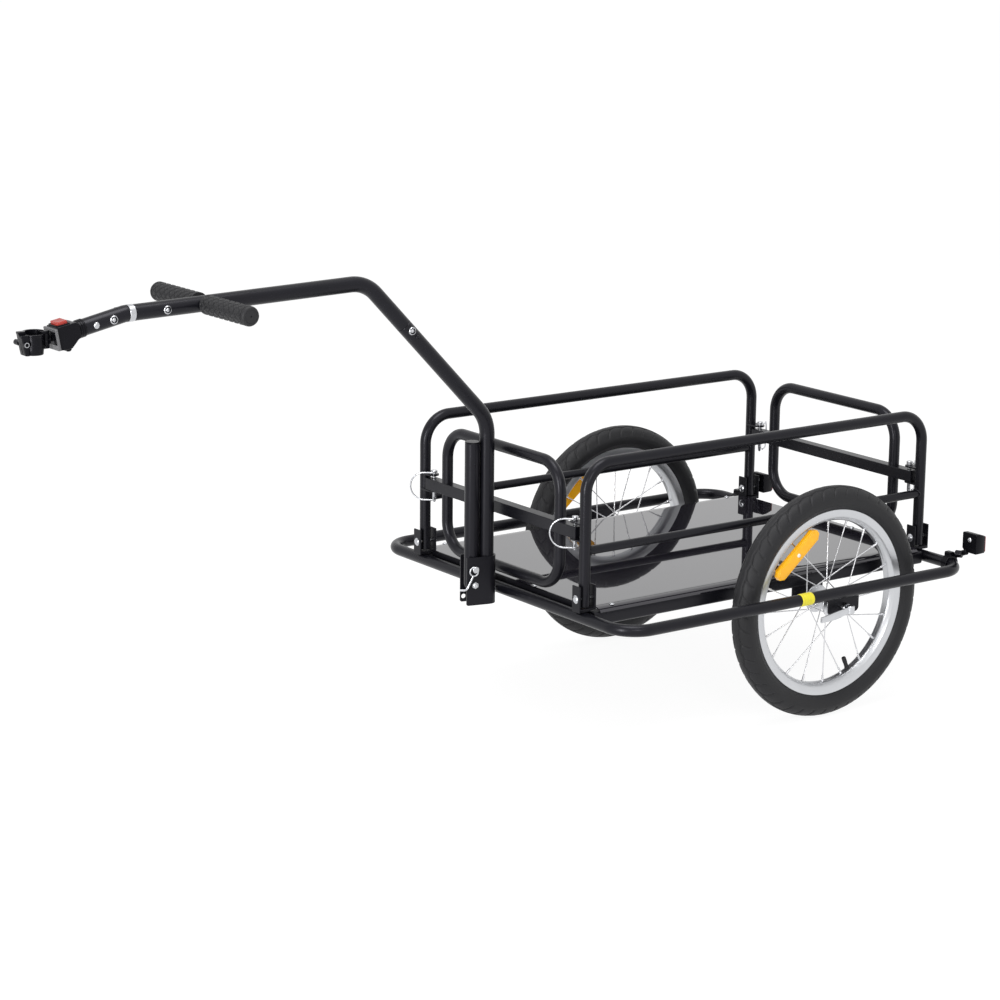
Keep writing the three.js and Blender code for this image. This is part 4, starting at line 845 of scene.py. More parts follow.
def spokes(y):
    """Wires from the hub's flanges to the rim: each starts 63 degrees ahead of or behind the
    place where it ends, and its nipple stands on the rim."""
    shapes = []
    for i in range(SPOKES):
        flange = 1 if i % 2 else -1
        lean = 1.1 if (i // 2) % 2 else -1.1
        angle = 2 * math.pi * i / SPOKES
        near = FLANGE_R * np.array([math.cos(angle + lean), 0, math.sin(angle + lean)])
        far = (RIM_IN + 0.6) * np.array([math.cos(angle), 0, math.sin(angle)])
        near, far = near + flange * FLANGE_Y * Y, far + flange * 1.1 * Y
        bends = rounded([near - flange * 3.0 * Y, near + flange * 2.2 * Y, far], 1.6, steps=4)
        wire = tube(bends, SPOKE_R, sides=10, chamfer=0.2)
        nipple = lathe(NIPPLE, far, unit(far - near), 12)
        shapes.append(moved(joined(wire, nipple), (0, y, WHEEL_Z)))
    return joined(*shapes)


# %% Amber plates and valves
AMBER_AT, AMBER_Z, AMBER_Y = 90 - 50.5, (111.0, 133.0), 12.0
VALVE_TURN = math.radians(-114)
VALVE = [(0, 0), (4.6, 0), (4.4, 2.4), (3.7, 5), (3.5, 13), (3.9, 13.4), (3.9, 22.6)]
VALVE += [(3.0, 23.8), (0, 24)]


def reflector(y, s):
    """A plate with pointed ends, 9 mm thick and set tangent to the wheel, with a raised panel
    on its face; and the round rivet in its middle, as a shape of its own."""
    low, high = AMBER_Z
    right = [(47, low), (55, low + 7), (55, high - 7), (47, high)]
    outline = [(-47, low), *right, *[(-x, z) for x, z in right[:0:-1]]]
    outline = rounded_outline(outline, 1.2, 2)
    place = s * AMBER_Y
    plate = pushed(outline, place - 4.5, place + 4.1)
    middle = np.array([0, (low + high) / 2])
    smaller = (outline - middle) * (0.93, 0.74) + middle
    panel = pushed(smaller, place - 4.9, place + 4.9)
    dome = [(0, 4.8), (3.4, 4.8), (3.2, 6.0), (2.2, 7.0), (0, 7.4)]
    rivet = lathe(dome, (0, place, middle[1]), s * Y, 24)
    shapes = joined(plate, panel), rivet
    return [moved(turned(shape, Y, AMBER_AT), (0, y, WHEEL_Z)) for shape in shapes]


# %% Both wheels
for side, s in SIDES:
    y = s * WHEEL_Y
    axle = np.array([0, y, WHEEL_Z])
    body = side + "_wheel"
    piece("tyre_tread_" + side, tyre(y), tyre_rubber, body, "tyre_" + side, sharp=60)
    rim = lathe(RIM, axle, Y, 160)
    piece("rim_ring_" + side, rim, alloy, body, "rim_" + side)
    piece("spokes_" + side, spokes(y), spoke_steel, body, "spoked_hub_" + side)
    piece("hub_shell_" + side, hub(y), alloy, body)
    way = -np.array([math.cos(VALVE_TURN), 0, math.sin(VALVE_TURN)])
    stem = lathe(VALVE, axle - way * (RIM_IN + 0.2), way, 24)
    piece("valve_stem_" + side, stem, grip_rubber, body, "valve_" + side)
    plate, rivet = reflector(y, s)
    node = "wheel_reflector_" + side
    piece("spoke_reflector_" + side, plate, amber_painted_glow, body, node, bevel=0.5)
    piece("reflector_rivet_" + side, rivet, white_dot, body)
print("wheels:", len(made), "pieces so far")

# %% [markdown]
# ## Quick-release axles
# A skewer runs through each hub. Its nut is inboard and its cam lever outboard, under the rail,
# so the wheel comes off without tools. The lever is a tapered paddle: an oval section whose
# width and thickness change along its length.

# %% Skewers and cam levers
LEVER_Y = 353.8
NUTS = [(0, 234.5), (6.8, 234.5), (8.5, 236), (8.5, 242.5), (4.8, 242.5), (4.8, 246.3)]
NUTS += [(3, 246.3), (3, 333.7), (4.8, 333.7), (4.8, 337.5), (8.5, 337.5), (8.5, 345)]
NUTS += [(7.6, 346.5), (0, 346.5)]
CAM = [(0, -6.5), (6.2, -6.5), (7, -5.7), (7, 5.7), (6.2, 6.5), (0, 6.5)]


def paddle(path, wide, thick, around=24):
    """Points centre + wide * cos a * up + thick * sin a * sideways, with the cosine and sine
    raised to the power 0.7 so that the oval is nearly a rounded bar."""
    a = full_turn(around)
    c = np.sign(np.cos(a)) * np.abs(np.cos(a)) ** 0.7
    s = np.sign(np.sin(a)) * np.abs(np.sin(a)) ** 0.7
    ring = wide[:, None, None] * c[:, None] * Z + thick[:, None, None] * s[:, None] * Y
    return (path[:, None] + ring).reshape(-1, 3), grid_faces(len(path), around)


for side, s in SIDES:
    skewer = lathe(NUTS, (0, 0, WHEEL_Z), s * Y, 32)
    piece("skewer_" + side, skewer, zinc, FRAME, "axle_skewer_" + side)
    cam = lathe(CAM, (0, s * LEVER_Y, WHEEL_Z), Z, 36)
    u = np.linspace(0, 1, 16)
    height = WHEEL_Z + 2 - 11 * u - 2 * np.sin(math.pi * u)
    line = np.stack([70 * u - 5, np.full(len(u), s * LEVER_Y), height], -1)
    line = np.concatenate([line[:1], line, line[-1:]])
    wide = np.concatenate([[0], 5.0 + 1.8 * np.sin(math.pi * u) ** 2, [0]])
    thick = np.concatenate([[0], 3.4 - 1.2 * u, [0]])
    wide[1], thick[1] = 4.6, 3.2
    lever = joined(cam, paddle(line, wide, thick))
    piece("cam_lever_" + side, lever, alloy, side + "_axle_lever", "axle_lever_" + side)

# %% [markdown]
# ## Drawbar
# The drawbar is one bent tube in two lengths. It stands upright in a channel at the front, leans
# forward, and runs level to the handle and hitch. The lengths meet on the slope, where one bolt
# and a sprung button hold them.

# %% Drawbar tubes
BAR_R, BAR_BORE, BAR_BEND, JOINT_X = 12.7, 10.9, 62.0, 668.0
FOOT_BEND, HIGH_BEND = np.array([500, 0, 521.0]), np.array([739.7, 0, 768.9])
BAR_END = np.array([1157, 0, 759.4])
UPRIGHT = np.array([FOOT_BEND[0], 0, 0])
lean, level = unit(HIGH_BEND - FOOT_BEND), unit(BAR_END - HIGH_BEND)


def on_slope(x):
    """A point of the sloping part."""
    return FOOT_BEND + lean * (x - FOOT_BEND[0]) / lean[0]


def on_level(x):
    """A point of the level part, or of its line ahead of the tube's end."""
    return HIGH_BEND + level * (x - HIGH_BEND[0]) / level[0]


line = rounded([UPRIGHT + 208 * Z, FOOT_BEND, HIGH_BEND, BAR_END], BAR_BEND, steps=20)
meeting = on_slope(JOINT_X)
lower = np.concatenate([line[line[:, 0] < JOINT_X], [meeting - 0.3 * lean]])
upper = np.concatenate([[meeting], line[line[:, 0] >= JOINT_X]])
for name, path, node in (("foot", lower, "lower"), ("top", upper, "upper")):
    bar = tube(path, BAR_R, 44, bore=BAR_BORE)
    piece("drawbar_" + name, bar, enamel, FRAME, "drawbar_" + node)

# %% Handle bar
HANDLE, HANDLE_HALF, HANDLE_R = on_level(1035), 133.0, 8.0
core = tube([HANDLE - HANDLE_HALF * Y, HANDLE + HANDLE_HALF * Y], HANDLE_R, 28)
meets = [saddle(HANDLE, HANDLE_R + 0.4, BAR_R + 0.3, s * Y, level) for _, s in SIDES]
rings = [bead(path, 1.3) for path in meets]
piece("handle_core", joined(core, *rings), enamel, FRAME)


# %% Bolts and the sprung button
def ringed_bolt(at, axis, grip):
    """A domed head on the far side, and on the near side a nut whose bright rim stands round a
    groove and the bolt's own domed end."""
    head = [(0, -3.4), (2.6, -3.4), (5.0, -2), (5.5, 0), (5.5, 2), (3, 2)]
    nut = [(3, -2), (6.3, -2), (6.5, 0.4), (6.5, 1.9), (5.9, 2.6), (5.1, 2.7), (4.8, -0.8)]
    nut += [(3.2, -0.8), (3.1, 2.0), (2.2, 2.9), (0, 3.2)]
    profile = [(r, h - grip) for r, h in head] + [(r, h + grip) for r, h in nut]
    return lathe(profile, at, axis, 32)


def hex_bolt(at, axis, radius, size, places):
    """A domed head at the first place, a six-sided nut between the next two and the bolt's end
    at the last: distances along the axis."""
    head, seat, low, high, end = places
    profile = [(0, head), (size * 0.45, head), (size * 0.88, head + 0.35 * (seat - head))]
    profile += [(size, seat), (radius, seat), (radius, end - 0.8), (radius * 0.75, end), (0, end)]
    shoulder = low + 0.7 * (high - low)
    nut = [(radius, low), (size, low), (size, shoulder), (size * 0.87, high), (radius, high)]
    return joined(lathe(profile, at, axis, 32), lathe(nut, at, axis, 6))


bolts = (
    ("joint_bolt", on_slope(659), "drawbar_joint_bolt"),
    ("connector_bolt", on_level(1105), "hitch_connector_bolt"),
)
for name, at, node in bolts:
    piece(name, ringed_bolt(at, Y, BAR_R), zinc, FRAME, node)
rail_bolt = hex_bolt((0, 0, RAIL_Z), X, 3.0, 5.5, (457.3, 460.7, 481.3, 483.7, 500))
piece("rail_bolt", rail_bolt, zinc, FRAME, "drawbar_bracket_bolt")
dome = [(3.2, BAR_R + 1.4), (2.6, BAR_R + 2.3), (1.5, BAR_R + 2.9), (0, BAR_R + 3)]
button = lathe([(0, 0.3), (3.2, 0.3), *dome], on_slope(648.5), Y, 28)
piece("sprung_button", button, satin, "snap_button", "drawbar_snap_button")

# %% [markdown]
# ## Channel and stand
# A plate bent to a U holds the upright tube on one side and the stand's leg on the other. The
# leg swings down on its lower bolt, and a wire pin through the upper hole keeps it up. All of
# this sits a little askew about the tube, so it is drawn straight and turned once at the end.

# %% Channel
CHANNEL_R, CHANNEL_IN, CHANNEL_FRONT, CHANNEL_Z = 16.0, 13.3, 540.0, (209.0, 291.0)
LEG_X, LEG_PIVOT_Z, LEG_PIN_Z = 526.0, 244.0, 271.0
ASKEW, EDGE_R, HOLE_R = -13.5, 3.0, 4.1


def by_upright(shape):
    """The channel is clamped a little askew: everything on it turns about the upright tube."""
    return turned(shape, Z, ASKEW, UPRIGHT)


def channel():
    """In plan, half a circle about the tube and two straight walls. The plans stand at several
    heights, the lowest ones shorter, which rounds the walls' lower corners: a quarter circle of
    front and height."""
    outer = arc(CHANNEL_R, 90, 270, 25, UPRIGHT[:2])
    inner = arc(CHANNEL_IN, 270, 90, 25, UPRIGHT[:2])
    t = np.linspace(0, math.pi / 2, 7)
    heights = [*(CHANNEL_Z[0] + EDGE_R * (1 - np.cos(t))), CHANNEL_Z[1]]
    fronts = [*(CHANNEL_FRONT - EDGE_R * (1 - np.sin(t))), CHANNEL_FRONT]
    loops = []
    for z, front in zip(heights, fronts):
        walls = [(front, -CHANNEL_R), (front, -CHANNEL_IN)]
        plan = np.concatenate([[(front, CHANNEL_R)], outer, walls, inner, [(front, CHANNEL_IN)]])
        loops.append(at_height(plan, z))
    return stacked(loops)


pivot_at, pin_at = np.array([LEG_X, 0, LEG_PIVOT_Z]), np.array([LEG_X, 0, LEG_PIN_Z])
drills = [drill(at, Y, HOLE_R, 25) for at in (pivot_at, pin_at)]
drills.append(drill((534.1, -14.6, 218.3), Y, HOLE_R, 4))
walls = by_upright(drilled(channel(), *drills))
piece("drawbar_channel", walls, satin, FRAME, "drawbar_bracket", bevel=0.5)

# %% Stand leg
LEG_R, LEG_WALL = 12.4, 1.5
profile = arc(LEG_R, -90, 0, 13, (0, LEG_PIVOT_Z))
inside = LEG_R - LEG_WALL
rim = [(LEG_R, 482.4), (11.9, 482.9), (inside, 482.9), (inside, 472), (0, 472)]
pin_hole = lathe([(0, 3), (3.8, 3), (3.8, 20), (0, 20)], pin_at, Y, 28)
leg = lathe(np.concatenate([profile, rim]), (LEG_X, 0, 0), Z, 40)
leg = by_upright(drilled(leg, drill(pivot_at, Y, HOLE_R), pin_hole))
piece("stand_tube", leg, enamel, "stand", "stand_leg")
plug = [(0, 473), (10.8, 473), (10.8, 483.1), (12.1, 483.1), (12.4, 483.6), (12.4, 484.6)]
plug = by_upright(lathe(plug + [(11.7, 485.3), (0, 485.6)], (LEG_X, 0, 0), Z, 40))
piece("stand_plug", plug, black_plastic, "stand")

# %% Stand bolt and pin
PIN_Y_OUT, EYE_R, WIRE_R = 19.6, 7.4, 1.6
pivot = by_upright(hex_bolt(pivot_at, Y, 3.8, 6.4, (-20.3, -16.3, 16.3, 20, 21.8)))
piece("stand_bolt", pivot, zinc, FRAME, "stand_pivot_bolt")
shank = [(0, 4.4), (2.4, 4.4), (3.4, 5.6), (3.4, 16.3), (5.1, 16.3), (5.5, 16.8)]
shank += [(5.5, 22.2), (4.9, 22.8), (0, 22.8)]
a = full_turn(32)[:, None]
eye_line = pin_at + (2.4, PIN_Y_OUT, -2.8) + EYE_R * (np.cos(a) * X + np.sin(a) * Z)
eye = tube(eye_line, WIRE_R, 12, closed=True)
corners = [(530, PIN_Y_OUT, 261.4), (532.5, 19.55, 256), (542, 19.55, 237), (552, 15.1, 237)]
hook = tube(rounded(corners, 7, steps=8), WIRE_R + 0.15, 14, chamfer=0.5)
pin = by_upright(joined(lathe(shank, pin_at, Y, 32), eye, hook))
piece("stand_pin", pin, zinc, "stand_pin", "stand_lock_pin")

# %% [markdown]
# ## Grips
# Each grip is moulded rubber with crossing grooves that leave rows of lozenges. On the grid of
# angle and length, two sets of slanted lines give the grooves; the lozenges between them are
# slightly domed. A plain ring and a flat end with a small moulding mark finish it.

# %% Handle grips
GRIP_R, GRIP_START, GRIP_LONG, LOZENGES, SLANT, GRIP_GROOVE = 15.5, 13.9, 118.0, 7, 15.0, 2.1
GRIP_END = [(14.0, 126.3), (12.6, 126.9), (10.5, 127), (10.3, 126.7), (10.1, 127), (1.3, 127.1)]
GRIP_END += [(1.1, 125.5), (0, 125.5)]


def grip(s, around=96):
    """Two counts, angle plus or minus length, are whole along the grooves. The radius is 15.5,
    less 2.1 * (1 - (distance to the nearest groove / 0.2)^0.7); the last rings close the end."""
    marks = [119, 119.4, 121, 121.4]
    along = np.concatenate([np.linspace(0, GRIP_LONG, 150), marks, np.linspace(122, 125.6, 5)])
    t = full_turn(around)
    turn, length = np.meshgrid(t, along)
    first = (turn * LOZENGES / (2 * math.pi) + length / SLANT) % 1
    second = (turn * LOZENGES / (2 * math.pi) - length / SLANT) % 1
    near = np.minimum(np.minimum(first, 1 - first), np.minimum(second, 1 - second))
    dome = np.clip(near / 0.2, 0, 1) ** 0.7
    radius = GRIP_R - GRIP_GROOVE * (1 - dome) * ((length > 3) & (length < GRIP_LONG))
    radius = np.where((length > 119.2) & (length < 121.2), 14.4, radius)
    radius = radius - 1.2 * (np.clip(length - 122, 0, None) / 3.6) ** 2
    ring = np.cos(t)[:, None] * X + np.sin(t)[:, None] * Z
    start = HANDLE + s * GRIP_START * Y
    points = start + s * length[..., None] * Y + radius[..., None] * ring
    mouth = np.array([start + (HANDLE_R + 0.3) * ring])
    cap = np.array([start + s * h * Y + r * ring for r, h in GRIP_END])
    rows = np.concatenate([mouth, points, cap])
    return rows.reshape(-1, 3), grid_faces(len(rows), around)


for side, s in SIDES:
    piece("grip_" + side, grip(s), grip_rubber, FRAME, "handle_grip_" + side, sharp=50)
print("drawbar and grips:", len(made), "pieces so far")

# %% [markdown]
# ## Hitch
# A bright ring joins the drawbar to a short dropped tube. That ends in a plastic block with a
# red release button. A swivel stem leaves the block's face, and a split clamp for a seat post
# turns on its upright barrel.

# %% Connector and hitch tube
NECK_R = 13.0
RING = [(0, -66), (9.5, -66), (9.5, 0), (13, 0), (13.4, 0.5), (13.4, 9.5), (13, 10)]
RING += [(9.5, 10), (9.5, 30), (0, 30)]
ring_from = BAR_END + 0.3 * level
connector = lathe(RING, ring_from, level, 44)
piece("connector_ring", connector, zinc, FRAME, "hitch_connector")
neck_start = ring_from + 10.3 * level
neck_bend = neck_start + 4 * level
neck_end = np.array([1262, 0, 740.4])
neck = tube(rounded([neck_start, neck_bend, neck_end], 20, steps=6), NECK_R, 40, bore=11.2)
piece("hitch_neck", neck, enamel, FRAME, "hitch_tube")
drop = unit(neck_end - neck_bend)


def on_drop(x):
    """A point on the dropped part of the hitch tube."""
    return neck_bend + drop * (x - neck_bend[0]) / drop[0]


rivet = [(0, 9), (5.0, 9), (5.0, 13.4), (4.6, 14.2), (3.2, 14.9), (0, 15.1)]
studs = joined(ringed_bolt(on_drop(1196.5), Y, NECK_R), lathe(rivet, on_drop(1225), Y, 30))
piece("hitch_studs", studs, zinc, FRAME)
collar = [(13.1, 0), (13.8, 0.4)]
for k in range(3):
    h = 3.6 * k
    collar += [(14.2, h + 1), (14.2, h + 3), (13.5, h + 3.5), (13.5, h + 4)]
collar += [(13.8, 16), (0, 16), (0, 12.3), (13.1, 12.3), (13.1, 0)]
collar = lathe(collar, on_drop(1241), drop, 44)

# %% [markdown]
# ## Coupling block
# The block is moulded plastic with a grey square face, and it hangs with its nose down. It is
# drawn level, with its face at x = 0, and then every piece of it takes the same turn and move.

# %% Coupling block
FACE, NOSE_DOWN = np.array([1294.2, 0, 732.5]), 10.2


def nosed(shape):
    """A shape drawn with the coupling's face at x = 0, put in its place with its nose down."""
    return moved(turned(shape, Y, NOSE_DOWN), FACE)


side_view = [(-3.8, -17.2), (-3.8, 18), (-35, 18), (-42, 15), (-42, -7), (-37, -9)]
side_view = rounded_outline(side_view + [(-24.5, -19), (-15, -19)], 1.6, 4)
housing = drilled(pushed(side_view, -16, 16), slab((-27, -12.8, 11), (-7.6, 12.8, 30)))
keel = [(-26, -17), (-24.8, -22.4), (-22.4, -24), (-17.4, -23.4), (-14.6, -17)]
block = nosed(joined(housing, pushed(keel, -11, 11)))
slot, node = "plastic_black", "hitch_block"
piece("hitch_housing", block, black_plastic, FRAME, node, bevel=1.4, steps=4)
face = nosed(pushed(rectangle((-19.5, -16.6), (19.5, 16.6), 1.5), -4.2, 0, "x"))
piece("hitch_face", face, grey_plastic, FRAME, bevel=0.7)
socket = nosed(pushed(rectangle((-8, -8), (17, 12.5), 1, 3), -1, 0.5, "x"))
piece("hitch_socket", socket, black_plastic, FRAME)
piece("hitch_collar", collar, black_plastic, FRAME)


# %% [markdown]
# ## Release button
# The button is a red cushion with a dished top, in a low black frame. Its top is a formula on a
# square grid, and a second grid below closes it. The reflectors' lenses use that pair of grids
# too.

# %% Blocks between two sheets
def rim_of(number):
    """The numbers round the edge of a grid, in order."""
    return np.concatenate([number[:-1, 0], number[-1, :-1], number[:0:-1, -1], number[0, :0:-1]])


def sheet_block(top, foot):
    """Two grids of points facing each other, with a wall from rim to rim."""
    rows, columns = top.shape[:2]
    count = rows * columns
    rim = rim_of(np.arange(count).reshape(rows, columns))
    wall = np.c_[rim, np.roll(rim, -1), np.roll(rim, -1) + count, rim + count]
    upper = np.array(grid_faces(rows, columns, False, False))
    faces = np.concatenate([upper, upper[:, ::-1] + count, wall])
    return np.concatenate([top.reshape(-1, 3), foot.reshape(-1, 3)]), faces.tolist()


# %% Button and its frame
def cushion_top(low, high, dish=1.2, count=15):
    """A rounded plate whose top dips in the middle: z = top - dish * (1 - u^2) * (1 - v^2) inside
    and falls to the foot at the rim, where u and v run from -1 to 1."""
    (x0, y0, z0), (x1, y1, z1) = low, high
    u, v = np.meshgrid(np.linspace(-1, 1, count), np.linspace(-1, 1, count), indexing="ij")
    squeeze = 1 - 0.06 * (u * v) ** 2
    x = (x0 + x1) / 2 + u * squeeze * (x1 - x0) / 2
    y = (y0 + y1) / 2 + v * squeeze * (y1 - y0) / 2
    rim = np.maximum(np.abs(u), np.abs(v)) ** 14
    z = z1 - dish * (1 - u**2) * (1 - v**2) - 0.9 * rim
    return sheet_block(np.stack([x, y, z], -1), np.stack([x, y, np.full(x.shape, z0)], -1))


def ringed(outside, inside, low, high):
    """A flat frame: four loops, outside and inside at two heights, closed round like a tyre."""
    loops = [(outside, low), (outside, high), (inside, high), (inside, low)]
    points = np.concatenate([at_height(loop, z) for loop, z in loops])
    return points, grid_faces(len(loops), len(outside), wrap_rows=True)


press = nosed(cushion_top((-25.9, -12, 15), (-8.6, 12, 24.6)))
node = "hitch_release_button"
piece("release_pad", press, red_plastic, "release_button", node, bevel=0.5)
outside = rectangle((-28.6, -14.2), (-6, 14.2), 2)
inside = rectangle((-26.8, -12.7), (-7.8, 12.7), 0.8)
frame_ring = nosed(ringed(outside, inside, 17.4, 20))
piece("button_frame", frame_ring, black_plastic, FRAME, bevel=0.5)

# %% [markdown]
# ## Swivel and clamp
# The swivel rolls in the block's face, and its upright barrel lets the clamp yaw. The clamp is
# cast in two halves about the seat post. Each is one outline in plan, half a ring with a nose,
# stood at several heights: its size changes with height, which gives the taper and the lip.

# %% Swivel
SWIVEL_Z, BARREL_X, BARREL_R = 733.0, 1303.0, 5.5
BARREL = [(0, -9), (4.9, -9), (BARREL_R, -8.4), (BARREL_R, -3), (5.1, -2.5), (5.1, 2.5)]
BARREL += [(BARREL_R, 3), (BARREL_R, 8.4), (4.9, 9), (0, 9)]
stem = lathe([(0, -1.2), (5, -1.2), (5, 3), (0, 3)], (1296.6, 0, SWIVEL_Z), X, 28)
square = rectangle((-6.5, SWIVEL_Z - 6.5), (6.5, SWIVEL_Z + 6.5), 1.2, 3)
boss = pushed(square, 1297.4, 1299.4, "x")
swivel = joined(stem, boss, lathe(BARREL, (BARREL_X, 0, SWIVEL_Z), Z, 32))
piece("swivel_joint", swivel, black_plastic, "swivel", "hitch_swivel", bevel=0.3)

# %% Clamp halves
CLAMP_X, BORE_R, NOSE_HALF, NOSE_ROUND, SPLIT = 1322.6, 12.7, 10.0, 2.5, 0.6


def half_plan(s, radius, nose):
    """Half a ring with a nose in plan: the outer arc from the rear to the nose, the nose's
    round corner, back along the split to the bore, and the bore's arc to the rear."""
    outer = arc(radius, 180, 33, 22, (CLAMP_X, 0))
    outer[0, 1] = SPLIT
    shoulder = [(CLAMP_X + radius * 0.86, NOSE_HALF)]
    corner = arc(NOSE_ROUND, 90, 0, 5, (nose - NOSE_ROUND, NOSE_HALF - NOSE_ROUND))
    bore = arc(BORE_R, 2.6, 177.4, 24, (CLAMP_X, 0))
    return np.concatenate([outer, shoulder, corner, [(nose, SPLIT)], bore]) * [1, s]


def half_clamp(s, top, lip):
    """The half plan at seven heights, each with its own radius and nose: tapered from the
    bottom up, with a lip round the top."""
    levels = [(-20.8, 13.6, 1340), (-20, 14.2, 1340.6), (-12, 14.8, 1342.4)]
    levels += [(top - 4, lip - 0.7, 1346.4), (top - 3.4, lip - 0.1, 1347)]
    levels += [(top - 0.6, lip, 1347.4), (top, lip - 0.5, 1347)]
    return stacked([at_height(half_plan(s, r, nose), SWIVEL_Z + z) for z, r, nose in levels])


round_end = arc(BARREL_R, 90, 270, 15, (BARREL_X, 0))
plan = np.concatenate([round_end, [(1312.5, -BARREL_R), (1312.5, BARREL_R)]])
forks = [pushed(plan, SWIVEL_Z + low, SWIVEL_Z + low + 4, "z") for low in (9.3, -13.3)]
rib = slab((1309.5, -1.6, SWIVEL_Z - 12), (1312, 1.6, SWIVEL_Z + 12))
far_half = joined(half_clamp(-1, 14.5, 17), *forks, rib)
near_half = half_clamp(1, 10, 15.1)
for name, shape, body, node in (
    ("clamp_far_half", far_half, "clamp", "clamp_base"),
    ("clamp_near_half", near_half, "jaw", "clamp_jaw"),
):
    piece(name, shape, black_plastic, body, node, bevel=0.4)

# %% Clamp bolt
BOLT_AT = (1340.5, 0, SWIVEL_Z - 3.5)
SCREW = [(0, -24), (1.8, -24), (2.2, -23), (3.6, -23), (4.3, -22.2), (4.3, -9.5), (2.4, -9.5)]
SCREW += [(2.4, 9.5), (4.4, 9.5), (4.4, 12.8), (3.9, 13.3), (2.4, 13.4), (2.2, 11.4), (0, 11.2)]
# A bright alloy ring round the screw head's socket is a painted highlight on the black screw.
PAINTED_HIGHLIGHT_RING = [(3.0, 13.1), (3.0, 13.8), (3.8, 13.8), (3.8, 13.1), (3.0, 13.1)]
screw = lathe(SCREW, BOLT_AT, Y, 28)
piece("clamp_screw", screw, black_plastic, "jaw_bolt", "clamp_bolt")
piece("clamp_screw_painted_highlight", lathe(PAINTED_HIGHLIGHT_RING, BOLT_AT, Y, 28), alloy, "jaw_bolt")
print("hitch:", len(made), "pieces so far")

# %% [markdown]
# ## Rear reflectors
# A plastic clip holds each reflector on the rear rail, and an arm carries its housing behind.
# The red lens faces the road behind, so from the front only the housing's back shows, with the
# clamp screw in its plate. The lens is a relief of small prisms: pyramids on a fine grid.

# %% Lens and housing
LENS_X, HOUSING_Z, PRISM = -315.5, 268.0, 2.6


def prisms(y, half_wide, low, high):
    """A lens face whose depth is 1.1 mm plus half a triangle wave in both directions, inside a
    plain rim 1.5 mm proud."""
    ys, zs = np.linspace(-half_wide, half_wide, 49), np.linspace(low, high, 57)
    gy, gz = np.meshgrid(ys, zs, indexing="ij")
    wave = np.abs((gy / PRISM) % 1 - 0.5) + np.abs((gz / PRISM) % 1 - 0.5)
    inside = (np.abs(gy) < half_wide - 0.9) & (gz > low + 0.9) & (gz < high - 0.9)
    depth = np.where(inside, 1.1 + 0.5 * wave, 1.5)
    front = np.stack([LENS_X - depth, y + gy, gz], -1)
    back = np.stack([np.full(gy.shape, LENS_X + 2.0), y + gy, gz], -1)
    return sheet_block(front, back)


def reflector_shell(y):
    """The housing's outline as seen from ahead, stood at five places along the trailer: it
    grows a little behind its front edge, and its top comes down again towards the lens."""
    plan = [(-17.2, 257.5), (-17.2, 286.5), (17.2, 286.5), (17.2, 251), (-10.5, 251)]
    plan = rounded_outline(plan, 2.4, 4)
    middle = np.array([0, HOUSING_Z])
    places = [(-294, 0.97, 0), (-295, 1, 0), (-304, 1, 0.6), (-314.5, 0.98, 3.6), (LENS_X, 0.95, 4)]
    loops = []
    for x, share, fall in places:
        flat = (plan - middle) * share + middle
        high = flat[:, 1] > HOUSING_Z
        loops.append(np.c_[np.full(len(flat), x), y + flat[:, 0], flat[:, 1] - fall * high])
    return stacked(loops)


# %% Both reflectors
CLIP = [(10.3, -7), (14.2, -7), (15, -6.2), (15, 6.2), (14.2, 7), (10.3, 7), (10.3, -7)]
KNUCKLE = [(0, -6.5), (5.6, -6.5), (6.4, -5.7), (6.4, 5.7), (5.6, 6.5), (0, 6.5)]
DOME = [(0, -2), (4.4, -2), (4.4, 0.3), (3.6, 1.5), (2.0, 2.2), (1.2, 2.2), (1.0, 1.2), (0, 1.2)]
EAR = rectangle((-281, 240), (-269, 251), 2.5)
for side, clip_y, y in (("left", 305.0, 333.0), ("right", -261.0, -227.0)):
    clip = lathe(CLIP, (RAIL_REAR, clip_y, RAIL_Z), Y, 40)
    ears = pushed(EAR, clip_y - 6.4, clip_y + 6.4)
    arm = tube([(-286, clip_y, 240), (-288, clip_y + 8, 246), (-294, y - 4, 252.5)], 5, 24)
    knuckle = lathe(KNUCKLE, (-284, y - 14, 248), (-0.5, 1, 0), 28)
    mount = joined(reflector_shell(y), clip, ears, arm, knuckle)
    name, node = "reflector_mount_" + side, "rear_reflector_" + side
    piece(name, mount, black_plastic, FRAME, node, bevel=0.8)
    lens = prisms(y, 16.2, 254, 281)
    piece("reflector_lens_" + side, lens, red_lens, FRAME)
    clip_screw = lathe([(2.2, -7), (2.2, -9.2), (0, -9.2)], (RAIL_REAR, clip_y, 246), Y, 6)
    screws = joined(lathe(DOME, (-293.8, y + 0.6, 274.5), X, 30), clip_screw)
    piece("reflector_screw_" + side, screws, zinc, FRAME)
print("reflectors:", len(made), "pieces in all")

# %% [markdown]
# ## Camera
# The picture was taken from the trailer's front left with a long lens. The three rows below are
# the camera's right, down and ahead directions, which come from matching known points of the
# trailer to their places in the picture.

# %% Camera at the picture's place
RIGHT = np.array([-0.8103, 0.5860, 0.0102])
DOWN = np.array([0.1278, 0.1936, -0.9727])
AHEAD = np.array([-0.5720, -0.7869, -0.2318])
camera_data = bpy.data.cameras.new("studio_camera")
camera_data.sensor_width = 36.0
camera_data.lens = 104.54
camera_data.clip_end = 60.0
camera = bpy.data.objects.new("studio_camera", camera_data)
camera.rotation_mode = "QUATERNION"
camera.rotation_quaternion = Matrix(np.c_[RIGHT, -DOWN, -AHEAD].tolist()).to_quaternion()
camera.location = in_metres((3239.3, 3806.9, 1501.5))
bpy.context.scene.collection.objects.link(camera)
bpy.context.scene.camera = camera
print("camera at", [round(value, 2) for value in camera.location])

# %% [markdown]
# ## Studio
# The floor is a wide pale sheet. To the camera, and in mirrors, it glows nearly white and a
# faint diffuse share adds the rest, so that only the trailer's shadow stays visible on it. The
# world is white to the camera and to mirrors too, and softer to everything that it lights.

